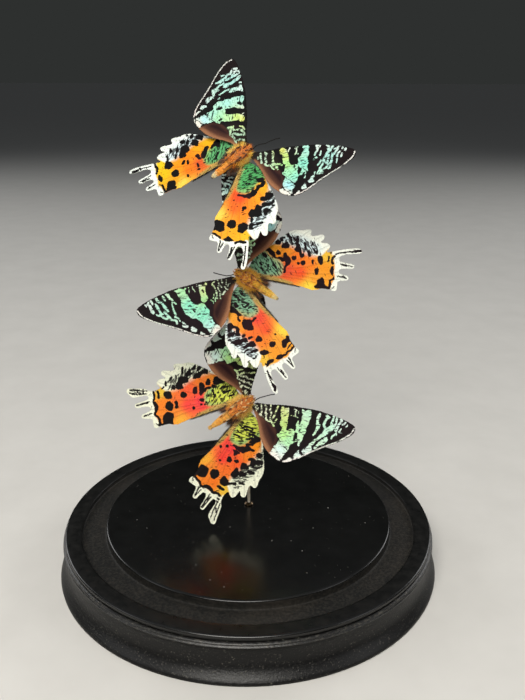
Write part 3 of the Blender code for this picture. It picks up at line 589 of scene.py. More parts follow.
# Light marks of each forewing, and dark gaps in them, in (u, v) mm of the left wing: a
# half-width and the points of a stroke, or 0 and the corners of a filled patch.
FORE_MARKS = {
    "top_moth_left_forewing": (
        (0, 7.7, 9.8, 8.3, 10.9, 9.5, 11.2, 11.3, 10.5, 12.5, 9.6, 14.2, 8.5, 14.9, 7.6, 16.5, 7.2, 17.6, 7.9,
         18.2, 8.6, 19, 8.6, 19.9, 7.8, 20.6, 6.4, 21.6, 5.9, 22.4, 5.6, 22.7, 4.8, 23.3, 3.2, 23.7, 2.2,
         23.2, 1.9, 20, 1.7, 17.2, 1.8, 16.4, 2.2, 16.6, 2.9, 15.9, 3.9, 15.1, 5.3, 14.6, 6.2, 13.9, 5.6,
         12.9, 5.9, 12.2, 6.7, 11.6, 7.4, 10.9, 8.2, 9.6, 8.3, 8.6, 8.7),
        (0, 14.4, 17, 15.1, 17.6, 15.9, 18.3, 16.7, 18, 17.2, 17.2, 18.2, 16.2, 18.6, 15.4, 19.2, 14.8, 19.6,
         13.9, 20.4, 13.2, 21, 12.2, 21.6, 12.4, 21.8, 11.6, 22.6, 10.6, 23.4, 9.8, 23.7, 9.1, 23.1, 8.4, 23,
         7, 23.1, 6.2, 22.6, 5.8, 22, 7, 21.6, 8.4, 20.5, 8.7, 18.3, 9.2, 17.9, 10.2, 17.3, 10.8, 16.9, 11.6,
         16.7, 13, 16.3, 14.6, 15.9, 15.6, 15, 16, 14.6, 16.2),
        (0, 18.7, 1.3, 19.4, 1.3, 23.8, 1.2, 24.8, 0.6, 24.9, -0.6, 25.3, -1.4, 26, -2.3, 25.3, -2.5, 22,
         -2.5, 20.8, -2.2, 20.3, -1.6, 19.7, -0.6, 19.3, 0.2),
        (0, 20.8, -4.5, 21.2, -4.8, 22.6, -4.8, 24.6, -4.4, 26.1, -3.4, 25.4, -2.9, 23, -3, 21.6, -3.1, 21.2,
         -3.5), (0, 27, 9.3, 27.7, 9.4, 28.1, 8.2, 29.2, 7.5, 29, 6.9, 28.2, 6, 27.2, 5.9, 27, 7.4),
        (0, 26.8, 4.5, 27.6, 4.2, 28.7, 3.4, 28.5, 2.3, 28, 1.8, 27.2, 2.1),
        (0, 18.2, 20, 18.7, 20.9, 19.5, 21.9, 20, 21.6, 20.1, 20.2, 19.6, 19.5, 18.8, 19.7),
        (0.4, 21.9, 23.2, 22.7, 23.5), (0.35, 20, 19.8, 20.3, 18.6, 20.8, 17.4, 21.1, 16.4),
        (0.28, 21.9, 19.6, 22.3, 18.8, 22.8, 18), (0.3, 22.5, 16.4, 22, 15.9), (0.3, 22.1, 15.1, 22.2, 14.7),
        (0.5, 22.6, 23.2, 23.6, 22.3, 24.3, 21.2, 24.7, 20), (0.4, 24.7, 20.2, 25, 18.6, 25.5, 17.5),
        (0.35, 23.6, 24.8, 24.2, 23.6, 24.7, 22.4), (0.3, 26.1, 26.2, 25.8, 25, 25.4, 24),
        (0.3, 26.4, 24.6, 26.7, 23.2, 26.9, 22.2), (0.38, 26, 21.9, 27.2, 20.5, 28.2, 19, 28.6, 17.8),
        (0.32, 25.6, 20.4, 26.2, 19.2, 27, 18, 27.6, 17.3), (0.3, 25.4, 17.2, 26.6, 16.7, 27.6, 17.1),
        (0.3, 27.8, 24.4, 28.1, 23.2, 28.4, 22), (0.28, 27.4, 27, 27.8, 26.2), (0.35, 28.8, 27, 29.2, 26.2),
        (0.3, 29.1, 24.2, 29.7, 23.6, 30, 22.9), (0.22, 29.2, 21.2, 29.9, 20.4, 30.4, 19.7),
        (0.3, 24.7, 16.4, 25.1, 15.2, 25.4, 14), (0.3, 26, 16.6, 26.3, 15.6, 26.8, 14.4, 27.4, 13.2),
        (0.5, 27, 13.4, 27.9, 12.9, 29, 12.5), (0.3, 27.2, 12.4, 27.8, 11), (0.3, 28.4, 12.4, 28.6, 11.4),
        (0.3, 28.4, 17.4, 28.4, 16, 28.7, 14.8, 28.3, 13.8), (0.35, 29.4, 17.2, 29.8, 16.2, 29.6, 15.4),
        (0.3, 26.6, 10.6, 26.9, 10), (0.28, 23.8, 8.4, 24.4, 7.2, 25.1, 6.2),
        (0.35, 27.5, 0.4, 27.6, -1, 27.6, -2.4), (0.3, 10.5, 12.7, 10.9, 12, 11.4, 11.2),
        (0.38, 12.5, 14, 13, 14.8), (0.3, 13, 14.2, 13.7, 13.4, 14.3, 12.4, 14.5, 11.8),
        (0.3, 15.1, 12.7, 15.2, 12.6), (0.42, 6.1, 7.1, 7.4, 6, 8.6, 4.6, 9.8, 3.4, 11, 2.2),
        (0.5, 10, 2.6, 11.2, 3.4, 12.6, 4.4), (0.45, 11.4, 3.4, 12.6, 2.6, 13.6, 2.2),
        (0.3, 12.8, 4.4, 13.8, 4.9), (0.4, 4, 4.7, 4.9, 4.6), (0.42, 4.6, 4.2, 5.6, 3.2, 6.6, 2.3, 7.6, 1.6),
        (0.4, 2.7, 3.2, 3.4, 2.6), (0.42, 3.6, 2.4, 4.6, 1.4, 5.4, 0.8, 6.2, 0.2),
        (0.42, 7.4, 0.6, 8.6, 0.7, 9.4, 1.3), (0.35, 9.2, 1.6, 10.6, 1.4, 12.4, 1.2), (0.3, 3, 1.4, 3.6, 0.6),
    ),
    "top_moth_right_forewing": (
        (0, 8.2, 9.4, 9.4, 10.7, 10.4, 11, 11.6, 10.8, 12.6, 10.3, 13.9, 9, 14.6, 8.6, 15.2, 7.9, 16.2, 7.3,
         17.2, 7.2, 18.3, 8, 19, 8.5, 21.2, 8.6, 22.4, 6.2, 22.6, 5.8, 22.8, 4.8, 23, 3.6, 23.8, 2, 23.5, 1.6,
         19.5, 1.6, 18.6, 1.4, 16.8, 1.8, 15.9, 2.2, 16.3, 3, 14.8, 4.2, 14.5, 4.7, 13.2, 5.4, 12.4, 6.2,
         11.2, 7.7, 9.6, 8.3, 8.8, 8.8),
        (0, 12.5, 13.6, 13.2, 14.4, 13.9, 15, 14.8, 15.6, 15.4, 16.6, 16, 17.6, 16.8, 18.1, 17.4, 17.4, 18.9,
         15.6, 20.2, 13.9, 20.4, 13, 21.8, 11.8, 21.8, 11, 23, 10, 23.6, 8.4, 23.7, 7, 23.4, 6.2, 22.6, 6,
         21.6, 7.9, 20.4, 8.6, 18.3, 8.8, 18, 9.6, 17.4, 10.2, 16.9, 11, 16.2, 11.7, 14.4, 12.1, 13.9, 12.8,
         13, 12.9),
        (0, 18.9, 1.1, 19.8, 1.2, 23.6, 1.2, 24.4, 0.6, 24.8, -0.6, 25.3, -1.4, 25.6, -2.4, 21.8, -2.2, 21,
         -2, 20.3, -0.9, 19.5, 0),
        (0, 21.6, -2.9, 24.4, -2.8, 26.4, -3.2, 24, -4.4, 22.2, -4.8, 21.6, -4.2, 21.9, -3.5),
        (0, 26.2, 9.5, 27.4, 9.5, 28.6, 7.9, 28.4, 7, 27.6, 6.2, 26.6, 5.8, 26.8, 8),
        (0, 26, 4.8, 27.2, 4.6, 28, 3.4, 27.6, 2.3, 26.6, 2.2, 26.2, 3.4),
        (0, 27, 13.6, 28, 14, 28.8, 13.2, 29.2, 11.8, 28.6, 10.9, 27.6, 10.2, 26.7, 10, 27.4, 11.4, 27.2,
         12.6),
        (0, 18.5, 19.2, 19.4, 20.6, 20.6, 21.4, 21.2, 21, 21.2, 19.9, 22, 19.2, 22.9, 17.6, 22.9, 16.2, 22.4,
         15.6, 21.4, 16.9, 20.7, 17.6, 20.2, 18.8, 19.6, 19.1),
        (0, 23.7, 24.2, 24.4, 24.6, 24.9, 22.8, 25.1, 21, 25.6, 19.4, 26.4, 17.9, 27, 16.9, 26.4, 15.6, 25.6,
         16.4, 24.9, 18.2, 24.3, 20, 23.8, 21.8), (0.4, 22, 22.2, 22.1, 22),
        (0.34, 23.6, 16.8, 24.2, 15.4, 24.9, 14, 25.2, 12.2), (0.3, 24.3, 10.9, 24.2, 10.1),
        (0.38, 26.3, 26, 25.7, 24.8, 26.1, 23.4, 26.6, 22.2, 27, 20.8, 27.8, 19.4, 28.2, 18.4),
        (0.35, 26.4, 25.6, 27.2, 25.2, 27.6, 24.6), (0.28, 27.2, 24, 27.4, 22.8, 27.3, 22.2),
        (0.4, 28, 26.3, 28.6, 25.6, 29.2, 25.2),
        (0.42, 28.7, 24, 28.6, 22.6, 29, 21.6, 28.9, 20, 29.1, 18.6, 29.4, 17.4, 30.1, 15.6),
        (0.28, 30.3, 20.5, 31, 19.5), (0.38, 27.6, 17.4, 28, 16.2, 28.4, 15.2, 28.3, 14),
        (0.3, 28.2, 18.4, 28.8, 17.6, 29.2, 16.6), (0.36, 26.9, 0.9, 27.1, -0.4, 27.4, -2.3),
        (0.25, 10.9, 11.9, 11.2, 11.4), (0.38, 5.6, 6.4, 6.6, 7, 8, 6.4),
        (0.5, 3.9, 4.8, 5, 3.7, 6.6, 2.9, 8, 2.1), (0.45, 4.4, 5, 6.2, 5.5, 7.6, 4.8, 8.8, 3.8, 9.4, 2.8),
        (0.55, 9.6, 3.6, 10.6, 3.6, 11.6, 2.7), (0.4, 10.4, 4.6, 11, 3.8),
        (0.5, 7, 0.7, 8.4, 1.1, 9.6, 1.9, 10.8, 2.4), (0.5, 2.4, 2.6, 2.5, 2.5),
        (0.4, 3.2, 2.4, 4.2, 1.6, 4.6, 0.8), (0.42, 4.2, -0.2, 5.4, 0.2, 6.4, 1),
    ),
    "middle_moth_right_forewing": (
        (0, 8, 9.7, 8.6, 10.4, 9.6, 10.6, 10.2, 11.6, 10.9, 11.9, 11.8, 11, 13.5, 9.6, 14.4, 8.9, 15.1, 8.3,
         15.7, 7.4, 16, 6.6, 15.4, 6, 14.2, 6, 13.5, 5.8, 12.8, 6.6, 12.2, 7.6, 11.5, 8.3, 10.6, 8.9, 9.6,
         9.3, 8.8, 9.2),
        (0, 14, 16.4, 15, 16.5, 15.6, 17.4, 16.2, 18.4, 17, 18.9, 17.6, 19.6, 18, 18.4, 18.8, 17, 19.4, 16,
         19.9, 15.2, 20.8, 14.4, 21.8, 13.8, 22.6, 12.6, 23.4, 11.4, 23.8, 10.4, 24, 8.4, 24, 6.8, 23.4, 6.2,
         23.2, 4.8, 23.6, 3.4, 24, 2.1, 24.8, 1.4, 24.8, 0, 25.2, -1.2, 25.7, -2, 22, -1.9, 21.2, -2, 20.8,
         -0.8, 20.2, 0.2, 19.6, 1, 19.6, 2, 18.6, 2.2, 17.8, 2.9, 17.4, 4, 16.9, 5, 16.4, 5.9, 16.6, 6.8,
         16.8, 7.6, 18, 8.2, 18.6, 9, 18.4, 10, 18.1, 11.2, 17.4, 12.8, 16.4, 13.9, 16.6, 14.8, 15.9, 15.4,
         14.4, 16),
        (0, 21.6, -2.3, 23, -2.3, 26.6, -2.6, 27, -2.2, 26.4, -3, 25, -3.8, 23, -4.5, 21.8, -4.9, 21.2, -3.8),
        (0, 27.4, 10.2, 28.2, 9.6, 29.2, 9.2, 28.9, 8, 28.6, 7.3, 27.7, 7, 27.6, 8.6),
        (0, 27.2, 5.8, 27.9, 6, 28.8, 5, 28.6, 4, 28.2, 3.2, 27.2, 3.4, 27, 4.6),
        (0, 27, 1.6, 27.8, 1.6, 28.2, 0.8, 27.6, 0.2, 27.2, 0.8),
        (0, 20.2, 21.3, 20.9, 21.9, 21.4, 20.6, 21.9, 19.2, 21.4, 18.8, 20.9, 19.4, 20.4, 20.4),
        (0, 23.9, 24.2, 24.6, 24.6, 25.3, 23.8, 25.2, 22.6, 25.3, 21.2, 25.9, 20, 26.4, 18.8, 26.9, 17.4,
         26.4, 17, 25.8, 18.2, 25.1, 19.4, 24.8, 20.6, 24.5, 22, 24.4, 23.4),
        (0.32, 21.4, 19, 21.9, 17.4, 22.1, 16.2), (0.35, 22.2, 22.5, 22.8, 21.6, 23.2, 20.8),
        (0.2, 22.4, 18, 23.2, 17.4, 23.8, 16.6), (0.28, 24.4, 16.2, 25.2, 15.6, 25.7, 14.8, 26.1, 13.8),
        (0.3, 26.2, 25.8, 26.6, 25, 27.2, 24.4),
        (0.38, 27.4, 26.2, 28.2, 26.2, 28.2, 25.2, 28.8, 24.4, 29.2, 23.4, 29.8, 22.2),
        (0.25, 29, 26.8, 29.2, 26), (0.25, 29.2, 24.4, 30.2, 23, 30.4, 22.2),
        (0.34, 26.4, 23.2, 27, 22, 27.9, 21, 28.5, 19.8, 28.9, 18.6), (0.2, 27.2, 22.8, 28, 21.6),
        (0.38, 27.6, 18.6, 28, 17.2, 28.4, 16, 28.9, 14.8),
        (0.34, 29.6, 19.6, 29.8, 18, 29.4, 16.2, 29, 14.6, 28.3, 13.4), (0.2, 30.2, 20.8, 30, 19.6),
        (0.28, 27, 13.8, 27.1, 12.4, 27.5, 11.2), (0.34, 28.2, 13.4, 28.6, 12.2, 29.2, 11.6),
        (0.32, 27.4, 0, 27.5, -1.6), (0.2, 12.2, 13.9, 13, 13.4, 13.4, 12.6, 13.9, 11.8),
        (0.2, 13.6, 15.2, 14.4, 14.6, 15.2, 13.8), (0.16, 10.8, 12.9, 11.6, 12.4),
        (0.25, 3.4, 5, 4.4, 4.4, 5, 3.6), (0.22, 4.6, 6.4, 5.4, 5.4, 6.4, 4.2, 6.6, 3.2),
        (0.28, 5.6, 7.2, 6.6, 7.4, 7.6, 7, 8, 6, 8.6, 5, 9.4, 4.2, 10.4, 3.4, 11.4, 2.6),
        (0.22, 6.4, 5, 7.4, 4.4, 8.4, 3.4, 9.2, 2.6, 10.2, 1.9, 10.9, 1.2),
        (0.22, 10.2, 4.6, 11.2, 4.4, 12.4, 4), (0.3, 11, 3.2, 12.2, 3.2, 13, 2.6),
        (0.22, 13.4, 4.6, 13.6, 3.6, 14.2, 2.9), (0.38, 7.2, 1.2, 8.4, 1.4, 9, 1.6),
        (0.25, 5.6, 2.4, 6, 1.6, 6.2, 0.6), (0.2, 2.6, 3.4, 3.6, 2.8, 4.4, 2.2, 5, 1.6),
        (0.2, 3.2, 1, 4, 1.6, 4.8, 1), (0.22, 8.4, 2.6, 8.9, 2.9),
    ),
    "bottom_moth_left_forewing": (
        (0, 7.9, 9.8, 8.6, 10.2, 9.4, 10.4, 9.8, 11.6, 10.6, 11.3, 12.4, 10.2, 13, 9.4, 14, 8.6, 14.8, 8,
         15.6, 7.2, 16.4, 6.6, 16.9, 6, 18, 6, 17.8, 7.2, 18.6, 8.1, 19.8, 8.4, 20.2, 7.9, 21, 7, 22, 6, 23,
         5.6, 23.4, 4.6, 23.3, 3.6, 24, 2.6, 24.4, 2, 22, 1.6, 17, 1.6, 16.6, 2.4, 16.6, 3.4, 16, 4.4, 15.2,
         5, 14.2, 5, 13.4, 5.1, 12.6, 6, 12, 7, 11, 7.2, 10, 7.8, 9.2, 8.4, 8.4, 9),
        (0, 14, 16, 14.6, 16.4, 15.4, 16, 15.2, 17, 15.9, 17.9, 16.6, 18.4, 17.3, 18.2, 17.9, 17.2, 18.8,
         16.8, 19.6, 15.8, 20.3, 14.6, 21, 13.4, 21.8, 12.4, 22.5, 12.2, 22.8, 11, 23.4, 10.2, 24.2, 9.2,
         24.7, 8.2, 25.2, 7.4, 25.9, 6.6, 25.2, 6.2, 24, 7.2, 23.6, 6.2, 23.2, 5.6, 22.8, 7.6, 21.6, 8.4,
         20.8, 8.7, 19.8, 8.6, 19.2, 9.4, 17.9, 10.2, 17.3, 11, 16.8, 12, 17, 12.2, 18.6, 10.8, 18.4, 11.8,
         17.8, 13, 17, 13.7, 16.2, 14, 15.9, 14.8, 15, 15),
        (0, 19.4, 1.2, 24, 1.3, 24.8, 1.7, 25, 0.2, 25.4, -1.2, 26, -2.4, 20.2, -1.9, 20, -1, 19.5, 0.4),
        (0, 20.4, -2.6, 22, -2.3, 25.8, -2.6, 26.2, -2.9, 24.6, -3.8, 22.6, -4.4, 21, -4.8, 20.8, -3.6),
        (0, 28, 10, 29.6, 10, 30.4, 8.8, 30.2, 7.4, 29.4, 6.2, 28.2, 6.3, 28, 8),
        (0, 27, 5.6, 28, 5, 29.6, 5, 30.4, 3.8, 30.4, 2.8, 29.2, 2.4, 27.8, 2.5, 27.5, 3.8),
        (0, 27.6, 1, 29.4, 1.2, 30, 0.6, 29, -0.8, 27.7, -2.6, 27.3, -1.8),
        (0, 19.2, 20.6, 20, 21, 20.6, 19.9, 21.2, 19, 22.4, 18.2, 23.6, 17.9, 24.2, 17, 24.9, 15.8, 25.4,
         14.4, 25.6, 13.4, 25.1, 13.5, 24.6, 14.6, 24, 15.8, 23.2, 16.6, 22.2, 17.2, 21.2, 17.8, 20.4, 18.8,
         19.8, 19.5),
        (0, 26.3, 22, 27.2, 22.4, 28, 21.8, 28.2, 20.4, 28.2, 16, 28, 14.6, 28.1, 13, 28.4, 11.2, 28, 9.9,
         27.4, 10.6, 27.3, 14, 27, 16, 26.6, 17.4, 26.2, 18.8),
        (0, 29, 17.2, 30.2, 17.2, 30.8, 16, 30.7, 14.8, 30.2, 13.6, 30.4, 12, 30, 10.8, 29.4, 11.4, 29.6,
         12.6, 29, 14, 29.2, 15.4),
        (0.4, 21.9, 22.4, 22.9, 22.8, 23.1, 21.4, 23.6, 20.2, 24.4, 19.3, 25.5, 19.2),
        (0.38, 23.9, 24.4, 24.6, 23.6, 25.3, 22.8, 26.2, 21.8),
        (0.34, 25.2, 25.2, 26, 24.4, 26.8, 23.2, 27.3, 22.2),
        (0.38, 26.4, 26, 27.2, 26, 27.8, 24.4, 28.4, 23, 29.2, 21.8), (0.25, 28.6, 26.9, 28.7, 25.4),
        (0.22, 30, 26.8, 30.2, 26), (0.3, 30, 20.8, 30.2, 19.6, 30.8, 18.8),
        (0.16, 29.8, 24, 30.2, 22.6, 31, 23.2), (0.16, 28.8, 21.6, 29.6, 21.8, 30.8, 21.2),
        (0.28, 12, 13.4, 12.8, 13.6, 13.4, 12.8, 14.4, 12.2), (0.16, 13.6, 14.2, 14.4, 13.6),
        (0.16, 13.2, 10.6, 14.4, 11.8, 16, 12.4),
        (0.34, 6.8, 8.5, 7.4, 7.4, 8.2, 6.6, 9, 5.6, 9.6, 4.4, 10, 3.6),
        (0.34, 4.6, 6.1, 5.6, 5.6, 6.2, 4.8, 7.4, 4.6, 8.2, 4, 9, 3.2, 10, 2.8),
        (0.34, 3.2, 4.5, 4.4, 4, 5.6, 3.4, 6.6, 2.6, 7.6, 1.8),
        (0.34, 2, 3, 3.2, 2.6, 4.2, 1.8, 5.2, 1.2, 6, 0.6), (0.3, 5.2, 3.6, 6, 2.6, 7, 3),
        (0.38, 8.2, 1.6, 9.2, 1.6, 10, 2), (0.3, 11, 5.2, 11.6, 4.2, 12, 3.2),
        (0.38, 10.4, 2.6, 12, 2.8, 12.8, 2.4), (0.38, 4.9, 0.4, 5.8, 0.5), (0.3, 6.6, 1, 7, 0.9),
        (0.32, 0.4, 0.6, 1.4, 1.4, 1.6, 0.4), (0.3, 2.2, 0.2, 2.6, 1.2, 3, 0.2),
    ),
}
FORE_GAPS = {
    "top_moth_left_forewing": (
        (0, 19.9, 8.5, 21.4, 8.2, 22, 6.2, 21.4, 6, 20.4, 7.2), (0.42, 18.2, 7.6, 18.2, 7.1),
        (0.18, 21.2, 9, 23.4, 9.2),
    ),
    "top_moth_right_forewing": (
        (0, 14.2, 14.4, 14.7, 15.1, 15.6, 15.1, 16.5, 14.4, 16.7, 13.9, 16.2, 13.5, 15.2, 13.8),
        (0, 16.8, 4.6, 17.3, 3.8, 17.2, 2.8, 16.6, 3, 16.3, 3.8), (0.14, 15.6, 12.6, 16.4, 12.5),
        (0, 19.9, 8.4, 20.8, 8.4, 21.6, 7, 21.7, 6, 21, 6.1, 20.2, 7),
    ),
    "middle_moth_right_forewing": (
        (0.3, 11.6, 9.9, 12.3, 8.8), (0.36, 20.9, 8.6, 21.1, 7.6), (0.2, 17.3, 5.3, 17.7, 4.5),
    ),
    "bottom_moth_left_forewing": (
        (0.26, 20.4, 10.6, 20.8, 9.8),
        (0, 20.2, 8.5, 21.2, 8, 22.6, 7.8, 22.9, 6.4, 22.4, 5.9, 21.6, 6.6, 20.9, 7.3),
    ),
}
